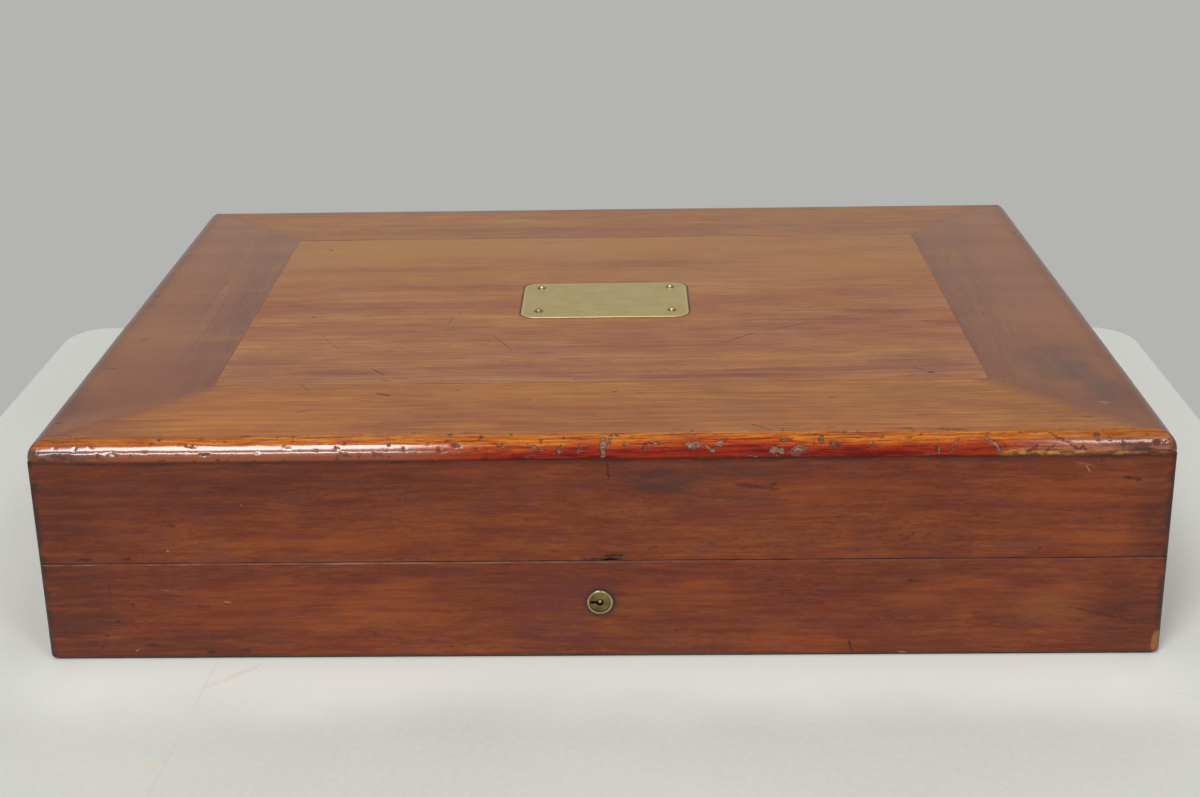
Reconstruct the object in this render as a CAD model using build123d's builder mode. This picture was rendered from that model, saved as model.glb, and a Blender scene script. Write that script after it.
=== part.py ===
from build123d import *
import math
import os

# A silverware chest: a hinged, baize-lined wooden box with a deep lid, a moulded and
# mitred top frame round a flush centre panel, a let-in brass name plate, and a brass
# box lock whose bolt passes through two loops on the lid.
# Frame: origin under the middle of the chest, +X to its right, -Y to its front, +Z up.
# Everything is in millimetres.

# ---------------------------------------------------------------- driving dimensions
chest_width = 508.0
chest_depth = 381.0
chest_height = 108.0
split_height = 49.0
wall_thickness = 12.7
top_overhang = 0.4
top_thickness = 9.4
frame_width = 70.0

wall_corner_round = 2.6
foot_round = 1.6
foot_corner_round = 3.5
arris_round = 0.5
top_edge_round = 8.4
top_corner_round = 5.5
lid_nick_middle = 4.9
lid_nick_radius = 7.0
lid_nick_height = 1.4
lid_nick_depth = 2.5

baize_thickness = 0.8
lining_thickness = 1.0
bottom_board_low = 3.8
bottom_board_high = 9.3
groove_depth = 4.0
lining_pad_thickness = 5.0

tongue_thickness = 3.0
tongue_length = 8.0
tongue_end_gap = 3.0
panel_tongue = 4.0
loose_fit = 0.3

plate_width = 88.9
plate_depth = 57.7
plate_corner_round = 8.0
plate_thickness = 1.4
plate_recess = 1.2
plate_middle = (1.7, 2.4)
pin_middle = (1.9, 3.6)
pin_reach_x = 35.3
pin_reach_y = 19.5
pin_head_radius = 1.7
pin_head_height = 1.6
pin_shank_radius = 0.7
pin_length = 6.0
plate_arris = 0.25

hinge_reach = 150.0
hinge_length = 44.0
leaf_width = 11.0
leaf_thickness = 1.5
knuckle_radius = 3.2
knuckle_count = 5
knuckle_gap = 0.2
barrel_clearance = 0.5
hinge_pin_radius = 1.25
pin_running_clearance = 0.06
heel_angle = 48.0
heel_start = 3.8
heel_end = 7.2
heel_thickness = 1.4
heel_root = 2.0
heel_lap = 0.2
hinge_screw_spacing = 14.0
hinge_screw_inset = 6.1
screw_slot_width = 0.5
screw_slot_length = 1.0
screw_hole_depth = 8.0

lock_height = 28.5
lock_case_reach = 30.0
lock_plate_reach = 38.0
lock_case_low = 13.4
lock_plate_low = 11.0
lock_depth = 9.2
lock_metal = 1.6
lock_rim = 1.4
plate_screw_reach = 34.2
plate_screw_heights = (16.5, 42.0)
cap_screw_reach = 25.6
cap_screw_rise = 4.2
cap_post_radius = 2.2
guide_reach = 14.0
guide_radius = 1.2
guide_proud = 0.8
guide_clearance = 0.1
cap_thickness = 1.0
nozzle_radius = 5.9
nozzle_proud = 1.0
curtain_radius = 4.8
curtain_clearance = 0.1
curtain_recess = 0.3
curtain_collar_radius = 5.4
curtain_collar_length = 1.1
curtain_end_gap = 1.2
curtain_collar_gap = 0.1
curtain_arris = 0.3
nozzle_arris = 0.5
key_bore_radius = 1.7
key_slot_height = 1.3
key_slot_reach = 4.3
drill_pin_radius = 1.0
drill_pin_setback = 0.2
drill_pin_round = 0.4

loop_reach = 14.0
loop_thickness = 3.0
loop_width = 5.4
loop_length = 8.8
loop_eye_width = 3.0
loop_eye_low = 41.4
loop_eye_high = 45.6
loop_clearance = 0.4
bolt_travel = 6.5
bolt_low = 34.4
bolt_high = 39.6
bolt_thickness = 3.0
bolt_end = 20.0
finger_low = 41.8
finger_high = 45.2
finger_thickness = 2.2
finger_length = 6.4
finger_root = 2.5
finger_gap = 1.0
talon_width = 5.2
talon_top = 36.4
link_screw_reach = 32.0

spring_thickness = 0.5
spring_width = 2.5
spring_gap = 0.1
spring_foot_end = 21.0
spring_bend_start = 12.0
spring_bend = (10.5, 6.0)
spring_tip = 18.0

divider_thickness = 6.0
divider_height = 34.0
divider_round = 1.5
divider_end_gap = 2.0
front_section_depth = 219.0
rack_thickness = 14.0
rack_height = 24.0
rack_slot_width = 9.0
rack_slot_depth = 17.0
rest_height = 13.0
rest_scallop_depth = 3.5
rest_scallop_radius = 16.0
rack_slot_count = 6
rack_setback = 26.0
knife_rack_height = 27.0
knife_rack_thickness = 16.0
knife_slot_count = 12
knife_handle_slot = 13.0
knife_blade_slot = 3.6
knife_slot_depth = 19.0
knife_handle_rack_y = 104.0
knife_blade_rack_y = -62.0
knife_end_margin = 12.0
handle_slot_mouth = 2.5
blade_slot_mouth = 1.5
rack_slot_mouth = 2.0
lining_setback = 1.5
pad_round = 2.0
pad_gap = 0.2
mitre_tongue_run = 68.0

hinge_screw_head, hinge_screw_shank, hinge_screw_length = 2.6, 1.2, 11.0
lock_screw_head, lock_screw_shank, lock_screw_length = 2.4, 1.1, 8.0
cap_screw_head, cap_screw_shank, cap_screw_length = 1.8, 0.9, 4.5

# ---------------------------------------------------------------- worked-out places
wall_width = chest_width - 2 * top_overhang
wall_depth = chest_depth - 2 * top_overhang
inner_width = wall_width - 2 * wall_thickness
inner_depth = wall_depth - 2 * wall_thickness
front_face = -wall_depth / 2
front_inside = front_face + wall_thickness
back_face = wall_depth / 2
top_underside = chest_height - top_thickness
panel_width = chest_width - 2 * frame_width
panel_depth = chest_depth - 2 * frame_width
tongue_mid = top_underside + top_thickness / 2
floor_top = bottom_board_high + baize_thickness
lid_ceiling = top_underside - lining_pad_thickness
lined_width = inner_width - 2 * lining_thickness
lined_depth = inner_depth - 2 * lining_thickness

lock_front = front_inside - lock_depth
lock_inside = front_inside - lock_metal
cap_inside = lock_front + cap_thickness
loop_middle = (cap_inside + lock_inside) / 2
selvedge_low = split_height - lock_metal

MARGIN = 5.0
SIDES = ("front", "right", "back", "left")
STRAIGHT = dict(align=(Align.CENTER, Align.CENTER, Align.MIN))


# ---------------------------------------------------------------- helpers
def save(builder, name):
    """Label a finished piece and write it as one STEP file."""
    builder.part.label = name
    export_step(builder.part, f"parts/{name}.step")


def block(x, y, z, mode=Mode.ADD):
    """A box between the low and the high value given on each axis."""
    with Locations(((x[0] + x[1]) / 2, (y[0] + y[1]) / 2, (z[0] + z[1]) / 2)):
        Box(x[1] - x[0], y[1] - y[0], z[1] - z[0], mode=mode)


def rod(start, end, y, z, radius, mode=Mode.ADD):
    """A round bar along X from start to end."""
    with Locations(Plane(origin=(start, y, z), z_dir=(1, 0, 0))):
        Cylinder(radius, end - start, mode=mode, **STRAIGHT)


def bar_to_back(x, z, start, end, radius, mode=Mode.ADD):
    """A round bar along Y from start to end."""
    with Locations(Plane(origin=(x, start, z), z_dir=(0, 1, 0))):
        Cylinder(radius, end - start, mode=mode, **STRAIGHT)


def wood_screw(head_radius, shank_radius, length):
    """A countersunk slotted screw with its head's top at the origin, pointing down Z."""
    with BuildPart() as screw:
        with BuildSketch(Plane.XZ):
            with BuildLine():
                Polyline(
                    (0, 0),
                    (head_radius, 0),
                    (shank_radius, shank_radius - head_radius),
                    (shank_radius, 2 * shank_radius - length),
                    (0, -length),
                    close=True,
                )
            make_face()
        revolve(axis=Axis.Z)
        Box(3 * head_radius, screw_slot_width, screw_slot_length, mode=Mode.SUBTRACT)
    return screw


def side_region(side, width, depth, reach):
    """The plan of one side of a rectangular frame, ended by 45 degree mitres."""
    outer_x = width / 2 + MARGIN
    outer_y = depth / 2 + MARGIN
    inner_x = width / 2 - reach
    inner_y = depth / 2 - reach
    turn = SIDES.index(side)
    outer = [(-outer_x, -outer_y), (outer_x, -outer_y), (outer_x, outer_y), (-outer_x, outer_y)]
    inner = [(-inner_x, -inner_y), (inner_x, -inner_y), (inner_x, inner_y), (-inner_x, inner_y)]
    nearer = (turn + 1) % 4
    return [outer[turn], outer[nearer], inner[nearer], inner[turn]]


def part_at_mitres(ring, side, width, depth, reach):
    """One mitred side, cut out of a ring that goes all the way round."""
    with BuildPart() as piece:
        add(ring.part)
        with BuildSketch(Plane.XY.offset(-MARGIN)):
            with BuildLine():
                Polyline(*side_region(side, width, depth, reach), close=True)
            make_face()
        extrude(amount=chest_height + 2 * MARGIN, mode=Mode.INTERSECT)
    return piece


def corner_places(width, depth, inset, height):
    """Planes on the four mitres, their X axes square to the mitre."""
    places = []
    for along in (-1, 1):
        for across in (-1, 1):
            where = (along * (width / 2 - inset), across * (depth / 2 - inset), height)
            places.append(Plane(origin=where, x_dir=(along, -across, 0), z_dir=(0, 0, 1)))
    return places


def wall_tongues(low, high):
    """Loose tongues that lock the four mitred corners of a box of walls."""
    with BuildPart() as tongues:
        with Locations(*corner_places(wall_width, wall_depth, wall_thickness / 2, low)):
            Box(tongue_length, tongue_thickness, high - low, **STRAIGHT)
    return tongues


def wall_ring(low, high, tongues):
    """Four walls as one ring, with their mitre slots."""
    with BuildPart() as ring:
        with BuildSketch(Plane.XY.offset(low)):
            RectangleRounded(wall_width, wall_depth, wall_corner_round)
            Rectangle(inner_width, inner_depth, mode=Mode.SUBTRACT)
        extrude(amount=high - low)
        add(tongues.part, mode=Mode.SUBTRACT)
    return ring


def slotted_bar(x, y, z, centres, slot_width, slot_depth, mouth_round, opens_up):
    """A rack bar across the chest with round-ended slots in its upper or lower edge."""
    mouth = z[1] if opens_up else z[0]
    towards = -1 if opens_up else 1
    end = mouth + towards * (slot_depth - slot_width / 2)
    with BuildPart() as bar:
        with BuildSketch(Plane.XZ.offset(-y[1])) as face:
            with Locations(((x[0] + x[1]) / 2, (z[0] + z[1]) / 2)):
                Rectangle(x[1] - x[0], z[1] - z[0])
            with Locations(*[(centre, (mouth + end) / 2) for centre in centres]):
                Rectangle(slot_width, abs(end - mouth), mode=Mode.SUBTRACT)
            with Locations(*[(centre, end) for centre in centres]):
                Circle(slot_width / 2, mode=Mode.SUBTRACT)
            lips = face.vertices().group_by(Axis.Y)[-1 if opens_up else 0]
            fillet(lips, mouth_round)
        extrude(amount=y[1] - y[0])
    return bar


def spread(low, high, count):
    """Centres of equal bays between two values."""
    bay = (high - low) / count
    return [low + bay * (n + 0.5) for n in range(count)]


os.makedirs("parts", exist_ok=True)

# ---------------------------------------------------------------- fixings used in several places
hinge_screw = wood_screw(hinge_screw_head, hinge_screw_shank, hinge_screw_length)
lock_screw = wood_screw(lock_screw_head, lock_screw_shank, lock_screw_length)
cap_screw = wood_screw(cap_screw_head, cap_screw_shank, cap_screw_length)

# ---------------------------------------------------------------- base walls
base_tongue_low = bottom_board_high + tongue_end_gap
base_corner_tongues = wall_tongues(base_tongue_low, split_height - tongue_end_gap)
save(base_corner_tongues, "base_corner_tongues")

with BuildPart() as base_ring:
    add(wall_ring(baize_thickness, split_height, base_corner_tongues).part)
    fillet(base_ring.faces().sort_by(Axis.Z)[0].outer_wire().edges(), foot_round)
    fillet(base_ring.faces().sort_by(Axis.Z)[-1].outer_wire().edges(), arris_round)
    with BuildSketch(Plane.XZ.offset(-chest_depth)) as end_profile:
        with Locations((0, split_height)):
            RectangleRounded(wall_width, 2 * (split_height - baize_thickness), foot_corner_round)
    extrude(end_profile.sketch, amount=2 * chest_depth, mode=Mode.INTERSECT)
    block(
        (-inner_width / 2 - groove_depth, inner_width / 2 + groove_depth),
        (-inner_depth / 2 - groove_depth, inner_depth / 2 + groove_depth),
        (bottom_board_low, bottom_board_high),
        mode=Mode.SUBTRACT,
    )


def base_side(side):
    """One mitred wall of the base."""
    return part_at_mitres(base_ring, side, wall_width, wall_depth, 2 * wall_thickness)


save(base_side("left"), "base_left_board")
save(base_side("right"), "base_right_board")

# ---------------------------------------------------------------- lid walls
lid_tongue_low = split_height + tongue_end_gap
lid_corner_tongues = wall_tongues(lid_tongue_low, top_underside - tongue_end_gap)
save(lid_corner_tongues, "lid_corner_tongues")

with BuildPart() as lid_ring:
    add(wall_ring(split_height, top_underside, lid_corner_tongues).part)
    fillet(lid_ring.faces().sort_by(Axis.Z)[0].outer_wire().edges(), arris_round)


def lid_side(side):
    """One mitred wall of the lid."""
    return part_at_mitres(lid_ring, side, wall_width, wall_depth, 2 * wall_thickness)


save(lid_side("left"), "lid_left_board")
save(lid_side("right"), "lid_right_board")

# ---------------------------------------------------------------- hinges
hinge_centres = (-hinge_reach, hinge_reach)
screw_row = back_face - hinge_screw_inset
screw_offsets = (-hinge_screw_spacing, 0.0, hinge_screw_spacing)


def leaf_screw_places(facing):
    """Planes on the leaf faces where the screws sit; facing is 1 for up, -1 for down."""
    return [
        Plane(origin=(centre + offset, screw_row, split_height), z_dir=(0, 0, facing))
        for centre in hinge_centres
        for offset in screw_offsets
    ]


def hinge_recess(into):
    """Cut the leaf beds and the barrel rooms out of a back wall; into is 1 for the lid."""
    bed = sorted((split_height, split_height + into * leaf_thickness))
    for centre in hinge_centres:
        ends = (centre - hinge_length / 2, centre + hinge_length / 2)
        block(ends, (back_face - leaf_width, back_face + 1), bed, mode=Mode.SUBTRACT)
        room = knuckle_radius + barrel_clearance
        rod(ends[0], ends[1], back_face, split_height, room, mode=Mode.SUBTRACT)


def hinge_leaf(centre, up):
    """A butt hinge leaf with its knuckles and the heel that stops the lid; up is 1 for the lid's."""
    start = centre - hinge_length / 2
    step = hinge_length / knuckle_count
    own = [n for n in range(knuckle_count) if n % 2 == (1 if up > 0 else 0)]
    others = [n for n in range(knuckle_count) if n not in own]
    angle = math.radians(heel_angle)
    bore = hinge_pin_radius + (pin_running_clearance if up > 0 else 0)

    def heel_point(out, across):
        return (
            back_face + out * math.cos(angle) - across * math.sin(angle),
            split_height + up * (out * math.sin(angle) + across * math.cos(angle)),
        )

    def heel_bar(x_start, length, out):
        with BuildSketch(Plane.YZ.offset(x_start)) as heel:
            with BuildLine():
                Polyline(
                    heel_point(out[0], 0),
                    heel_point(out[1], 0),
                    heel_point(out[1], heel_thickness),
                    heel_point(out[0], heel_thickness),
                    close=True,
                )
            make_face()
        extrude(heel.sketch, amount=length)

    with BuildPart() as leaf:
        face = sorted((split_height, split_height + up * leaf_thickness))
        block((start, start + hinge_length), (back_face - leaf_width, back_face), face)
        for n in others:
            room = knuckle_radius + barrel_clearance
            rod(start + n * step, start + (n + 1) * step, back_face, split_height, room, Mode.SUBTRACT)
        for n in own:
            knuckle = (start + n * step + knuckle_gap / 2, start + (n + 1) * step - knuckle_gap / 2)
            rod(knuckle[0], knuckle[1], back_face, split_height, knuckle_radius)
            heel_bar(knuckle[0], knuckle[1] - knuckle[0], (heel_root, heel_start + heel_lap))
        heel_bar(start, hinge_length, (heel_start, heel_end))
        rod(start - 1, start + hinge_length + 1, back_face, split_height, bore, Mode.SUBTRACT)
        places = [p for p in leaf_screw_places(-up) if abs(p.origin.X - centre) < hinge_length]
        with Locations(*places):
            CounterSinkHole(hinge_screw_shank, hinge_screw_head, screw_hole_depth, 90)
    return leaf


for centre, hand in zip(hinge_centres, ("left", "right")):
    save(hinge_leaf(centre, -1), f"hinge_base_leaf_{hand}")
    save(hinge_leaf(centre, 1), f"hinge_lid_leaf_{hand}")

with BuildPart() as hinge_pins:
    for centre in hinge_centres:
        reach = hinge_length / 2 - knuckle_gap
        rod(centre - reach, centre + reach, back_face, split_height, hinge_pin_radius)
save(hinge_pins, "hinge_pins")

with BuildPart() as hinge_base_screws:
    with Locations(*leaf_screw_places(1)):
        add(hinge_screw.part)
save(hinge_base_screws, "hinge_base_screws")

with BuildPart() as hinge_lid_screws:
    with Locations(*leaf_screw_places(-1)):
        add(hinge_screw.part)
save(hinge_lid_screws, "hinge_lid_screws")

with BuildPart() as base_back_board:
    add(base_side("back").part)
    hinge_recess(into=-1)
    add(hinge_base_screws.part, mode=Mode.SUBTRACT)
save(base_back_board, "base_back_board")

with BuildPart() as lid_back_board:
    add(lid_side("back").part)
    hinge_recess(into=1)
    add(hinge_lid_screws.part, mode=Mode.SUBTRACT)
save(lid_back_board, "lid_back_board")

# ---------------------------------------------------------------- lock
plate_screw_places = [
    Plane(origin=(x, front_inside, z), x_dir=(1, 0, 0), z_dir=(0, 1, 0))
    for x in (-plate_screw_reach, plate_screw_reach)
    for z in plate_screw_heights
]
cap_screw_places = [
    Plane(origin=(x, lock_front, lock_case_low + cap_screw_rise), x_dir=(1, 0, 0), z_dir=(0, -1, 0))
    for x in (-cap_screw_reach, cap_screw_reach)
]
guide_places = (-guide_reach, guide_reach)
guide_height = (bolt_low + bolt_high) / 2

with BuildPart() as lock_plate_screws:
    with Locations(*plate_screw_places):
        add(lock_screw.part)
save(lock_plate_screws, "lock_plate_screws")

with BuildPart() as lock_cap_screws:
    with Locations(*cap_screw_places):
        add(cap_screw.part)
save(lock_cap_screws, "lock_cap_screws")

with BuildPart() as drill_pin:
    bar_to_back(0, lock_height, front_face + drill_pin_setback, front_inside, drill_pin_radius)
    fillet(drill_pin.faces().sort_by(Axis.Y)[0].edges(), drill_pin_round)
save(drill_pin, "drill_pin")

with BuildPart() as lock_case:
    block(
        (-lock_plate_reach, lock_plate_reach), (lock_inside, front_inside), (lock_plate_low, split_height)
    )
    block(
        (-lock_plate_reach, lock_plate_reach), (lock_front, lock_inside), (selvedge_low, split_height)
    )
    block(
        (-lock_case_reach, lock_case_reach), (cap_inside, lock_inside), (lock_case_low, selvedge_low)
    )
    block(
        (-lock_case_reach + lock_rim, lock_case_reach - lock_rim),
        (cap_inside, lock_inside),
        (lock_case_low + lock_rim, selvedge_low),
        mode=Mode.SUBTRACT,
    )
    for place in cap_screw_places:
        bar_to_back(place.origin.X, place.origin.Z, cap_inside, lock_inside, cap_post_radius)
    guide_front = loop_middle - bolt_thickness / 2 - guide_proud
    for guide in guide_places:
        bar_to_back(guide, guide_height, guide_front, lock_inside, guide_radius)
    for loop in (-loop_reach, loop_reach):
        block(
            (loop - loop_thickness / 2 - loop_clearance, loop + loop_thickness / 2 + loop_clearance),
            (loop_middle - loop_width / 2 - loop_clearance, loop_middle + loop_width / 2 + loop_clearance),
            (selvedge_low - 1, split_height + 1),
            mode=Mode.SUBTRACT,
        )
    bar_to_back(0, lock_height, lock_inside - 1, front_inside + 1, drill_pin_radius, Mode.SUBTRACT)
    add(lock_cap_screws.part, mode=Mode.SUBTRACT)
    with Locations(*plate_screw_places):
        CounterSinkHole(lock_screw_shank, lock_screw_head, screw_hole_depth, 90)
save(lock_case, "lock_case")

with BuildPart() as lock_cap:
    block(
        (-lock_case_reach, lock_case_reach), (lock_front, cap_inside), (lock_case_low, selvedge_low)
    )
    hole = curtain_radius + curtain_clearance
    bar_to_back(0, lock_height, lock_front - 1, cap_inside + 1, hole, Mode.SUBTRACT)
    with Locations(*cap_screw_places):
        CounterSinkHole(cap_screw_shank, cap_screw_head, screw_hole_depth, 90)
save(lock_cap, "lock_cap")

with BuildPart() as nozzle_ring:
    bar_to_back(0, lock_height, front_face - nozzle_proud, lock_front, nozzle_radius)
    fillet(nozzle_ring.faces().sort_by(Axis.Y)[0].edges(), nozzle_arris)
    hole = curtain_radius + curtain_clearance
    bar_to_back(0, lock_height, front_face - 5, lock_front + 1, hole, Mode.SUBTRACT)
save(nozzle_ring, "nozzle_ring")

with BuildPart() as key_curtain:
    curtain_front = front_face - nozzle_proud + curtain_recess
    curtain_back = lock_inside - curtain_end_gap
    collar_front = cap_inside + curtain_collar_gap
    collar_back = collar_front + curtain_collar_length
    bar_to_back(0, lock_height, curtain_front, curtain_back, curtain_radius)
    fillet(key_curtain.faces().sort_by(Axis.Y)[0].edges(), curtain_arris)
    bar_to_back(0, lock_height, collar_front, collar_back, curtain_collar_radius)
    bar_to_back(0, lock_height, curtain_front - 1, curtain_back + 1, key_bore_radius, Mode.SUBTRACT)
    block(
        (-key_slot_reach, 0),
        (curtain_front - 1, curtain_back + 1),
        (lock_height - key_slot_height / 2, lock_height + key_slot_height / 2),
        mode=Mode.SUBTRACT,
    )
save(key_curtain, "key_curtain")

bolt_front = loop_middle - bolt_thickness / 2
bolt_rear = loop_middle + bolt_thickness / 2
bolt_start = -loop_reach - loop_thickness / 2 - finger_gap - finger_length - finger_root

with BuildPart() as lock_bolt:
    block((bolt_start, bolt_end), (bolt_front, bolt_rear), (bolt_low, bolt_high))
    for loop in (-loop_reach, loop_reach):
        tip = loop - loop_thickness / 2 - finger_gap
        root = tip - finger_length - finger_root
        flat = (loop_middle - finger_thickness / 2, loop_middle + finger_thickness / 2)
        block((root, root + finger_root), flat, (bolt_high, finger_high))
        block((root, tip), flat, (finger_low, finger_high))
    for guide in guide_places:
        low_end = guide - bolt_travel
        slot = guide_radius + guide_clearance
        block(
            (low_end, guide),
            (bolt_front - 1, bolt_rear + 1),
            (guide_height - slot, guide_height + slot),
            mode=Mode.SUBTRACT,
        )
        for end in (low_end, guide):
            bar_to_back(end, guide_height, bolt_front - 1, bolt_rear + 1, slot, Mode.SUBTRACT)
    talon = (-bolt_travel / 2 - talon_width / 2, -bolt_travel / 2 + talon_width / 2)
    block(talon, (bolt_front - 1, bolt_rear + 1), (bolt_low - 1, talon_top), Mode.SUBTRACT)
save(lock_bolt, "lock_bolt")

spring_foot = lock_case_low + lock_rim
spring_low = spring_foot + spring_thickness / 2
spring_top = bolt_low - spring_gap - spring_thickness / 2
with BuildPart() as bolt_spring:
    with BuildSketch(Plane.XZ.offset(-loop_middle - spring_width / 2)):
        with BuildLine() as spring_line:
            foot = Line((spring_foot_end, spring_low), (spring_bend_start, spring_low))
            bend_end = (spring_bend[0], spring_foot + spring_bend[1])
            bend = TangentArc(foot @ 1, bend_end, tangent=foot % 1)
            TangentArc(bend @ 1, (spring_tip, spring_top), tangent=bend % 1)
        trace(line_width=spring_thickness)
    extrude(amount=spring_width)
save(bolt_spring, "bolt_spring")

with BuildPart() as base_front_board:
    add(base_side("front").part)
    plate_span = (-lock_plate_reach, lock_plate_reach)
    block(plate_span, (lock_inside, front_inside + 1), (lock_plate_low, split_height + 1), Mode.SUBTRACT)
    block(plate_span, (lock_front, front_inside), (selvedge_low, split_height + 1), Mode.SUBTRACT)
    block(
        (-lock_case_reach, lock_case_reach),
        (lock_front, front_inside),
        (lock_case_low, split_height + 1),
        mode=Mode.SUBTRACT,
    )
    bar_to_back(0, lock_height, front_face - 1, lock_front + 1, nozzle_radius, Mode.SUBTRACT)
    add(lock_plate_screws.part, mode=Mode.SUBTRACT)
save(base_front_board, "base_front_board")

# ---------------------------------------------------------------- link plate on the lid
link_screw_places = [
    Plane(origin=(x, loop_middle, split_height), z_dir=(0, 0, -1))
    for x in (-link_screw_reach, link_screw_reach)
]

with BuildPart() as link_plate_screws:
    with Locations(*link_screw_places):
        add(lock_screw.part)
save(link_plate_screws, "link_plate_screws")

with BuildPart() as link_plate:
    block(
        (-lock_plate_reach, lock_plate_reach),
        (lock_front, front_inside),
        (split_height, split_height + lock_metal),
    )
    for loop in (-loop_reach, loop_reach):
        sides = (loop - loop_thickness / 2, loop + loop_thickness / 2)
        block(
            sides,
            (loop_middle - loop_width / 2, loop_middle + loop_width / 2),
            (split_height - loop_length, split_height),
        )
        block(
            (sides[0] - 1, sides[1] + 1),
            (loop_middle - loop_eye_width / 2, loop_middle + loop_eye_width / 2),
            (loop_eye_low, loop_eye_high),
            mode=Mode.SUBTRACT,
        )
    with Locations(*link_screw_places):
        CounterSinkHole(lock_screw_shank, lock_screw_head, screw_hole_depth, 90)
save(link_plate, "link_plate")

with BuildPart() as lid_front_board:
    add(lid_side("front").part)
    block(
        (-lock_plate_reach, lock_plate_reach),
        (lock_front, front_inside + 1),
        (split_height - 1, split_height + lock_metal),
        mode=Mode.SUBTRACT,
    )
    add(link_plate_screws.part, mode=Mode.SUBTRACT)
    nick_centre = split_height + lid_nick_height - lid_nick_radius
    nick_back = front_face + lid_nick_depth
    bar_to_back(lid_nick_middle, nick_centre, front_face - 1, nick_back, lid_nick_radius, Mode.SUBTRACT)
save(lid_front_board, "lid_front_board")

# ---------------------------------------------------------------- moulded top
mitre_tongue_inset = frame_width / 2
with BuildPart() as top_corner_tongues:
    with Locations(*corner_places(chest_width, chest_depth, mitre_tongue_inset, tongue_mid)):
        Box(tongue_length, mitre_tongue_run, tongue_thickness)
save(top_corner_tongues, "top_corner_tongues")

with BuildPart() as top_ring:
    with BuildSketch(Plane.XY.offset(top_underside)):
        Rectangle(chest_width, chest_depth)
        Rectangle(panel_width, panel_depth, mode=Mode.SUBTRACT)
    extrude(amount=top_thickness)
    fillet(top_ring.faces().sort_by(Axis.Z)[-1].outer_wire().edges(), top_edge_round)
    with BuildSketch(Plane.XY.offset(top_underside - 1)):
        RectangleRounded(chest_width, chest_depth, top_corner_round)
    extrude(amount=top_thickness + 2, mode=Mode.INTERSECT)
    block(
        (-panel_width / 2 - panel_tongue, panel_width / 2 + panel_tongue),
        (-panel_depth / 2 - panel_tongue, panel_depth / 2 + panel_tongue),
        (tongue_mid - tongue_thickness / 2, tongue_mid + tongue_thickness / 2),
        mode=Mode.SUBTRACT,
    )
    add(top_corner_tongues.part, mode=Mode.SUBTRACT)

for side in SIDES:
    rail = part_at_mitres(top_ring, side, chest_width, chest_depth, frame_width + MARGIN)
    save(rail, f"top_{side}_rail")

plate_bed = chest_height - plate_recess
pin_places = [
    (pin_middle[0] + x, pin_middle[1] + y, plate_bed)
    for x in (-pin_reach_x, pin_reach_x)
    for y in (-pin_reach_y, pin_reach_y)
]

ball = (pin_head_radius**2 + pin_head_height**2) / (2 * pin_head_height)

with BuildPart() as dome:
    with BuildSketch(Plane.XZ):
        with BuildLine():
            crown = plate_thickness + pin_head_height
            rim = RadiusArc((pin_head_radius, plate_thickness), (0, crown), -ball)
            Polyline(rim @ 1, (0, plate_thickness), rim @ 0)
        make_face()
    revolve(axis=Axis.Z)

with BuildPart() as name_plate_pins:
    with Locations(*[Plane(origin=place) for place in pin_places]):
        Cylinder(pin_shank_radius, pin_length, align=(Align.CENTER, Align.CENTER, Align.MAX))
        Cylinder(pin_shank_radius, plate_thickness, **STRAIGHT)
        add(dome.part)
save(name_plate_pins, "name_plate_pins")

with BuildPart() as name_plate:
    with BuildSketch(Plane(origin=(*plate_middle, plate_bed))):
        RectangleRounded(plate_width, plate_depth, plate_corner_round)
    extrude(amount=plate_thickness)
    chamfer(name_plate.faces().sort_by(Axis.Z)[-1].edges(), plate_arris)
    with Locations(*pin_places):
        Hole(pin_shank_radius)
save(name_plate, "name_plate")

tongue_reach = panel_tongue - loose_fit
with BuildPart() as top_panel:
    with BuildSketch(Plane.XY.offset(top_underside)):
        Rectangle(panel_width, panel_depth)
    extrude(amount=top_thickness)
    with BuildSketch(Plane.XY.offset(tongue_mid - tongue_thickness / 2)):
        Rectangle(panel_width + 2 * tongue_reach, panel_depth + 2 * tongue_reach)
    extrude(amount=tongue_thickness)
    with BuildSketch(Plane(origin=(*plate_middle, plate_bed))):
        RectangleRounded(plate_width, plate_depth, plate_corner_round)
    extrude(amount=plate_recess + 1, mode=Mode.SUBTRACT)
    add(name_plate_pins.part, mode=Mode.SUBTRACT)
save(top_panel, "top_panel")

# ---------------------------------------------------------------- bottom board and baize
board_reach = groove_depth - loose_fit
with BuildPart() as base_bottom_board:
    with BuildSketch(Plane.XY.offset(bottom_board_low)):
        Rectangle(inner_width + 2 * board_reach, inner_depth + 2 * board_reach)
    extrude(amount=bottom_board_high - bottom_board_low)
save(base_bottom_board, "base_bottom_board")

with BuildPart() as underside_baize:
    with BuildSketch():
        RectangleRounded(wall_width - 2 * foot_round, wall_depth - 2 * foot_round, wall_corner_round)
    extrude(amount=baize_thickness)
save(underside_baize, "underside_baize")

with BuildPart() as base_floor_baize:
    with BuildSketch(Plane.XY.offset(bottom_board_high)):
        Rectangle(inner_width, inner_depth)
    extrude(amount=baize_thickness)
save(base_floor_baize, "base_floor_baize")


def wall_lining(low, high):
    """A thin ring of cloth on the inner faces of the walls."""
    with BuildPart() as lining:
        with BuildSketch(Plane.XY.offset(low)):
            Rectangle(inner_width, inner_depth)
            Rectangle(lined_width, lined_depth, mode=Mode.SUBTRACT)
        extrude(amount=high - low)
    return lining


with BuildPart() as base_wall_lining:
    add(wall_lining(floor_top, split_height - lining_setback).part)
    block(
        (-lock_plate_reach, lock_plate_reach),
        (front_inside - 1, front_inside + lining_thickness + 1),
        (floor_top - 1, split_height),
        mode=Mode.SUBTRACT,
    )
save(base_wall_lining, "base_wall_lining")

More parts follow.
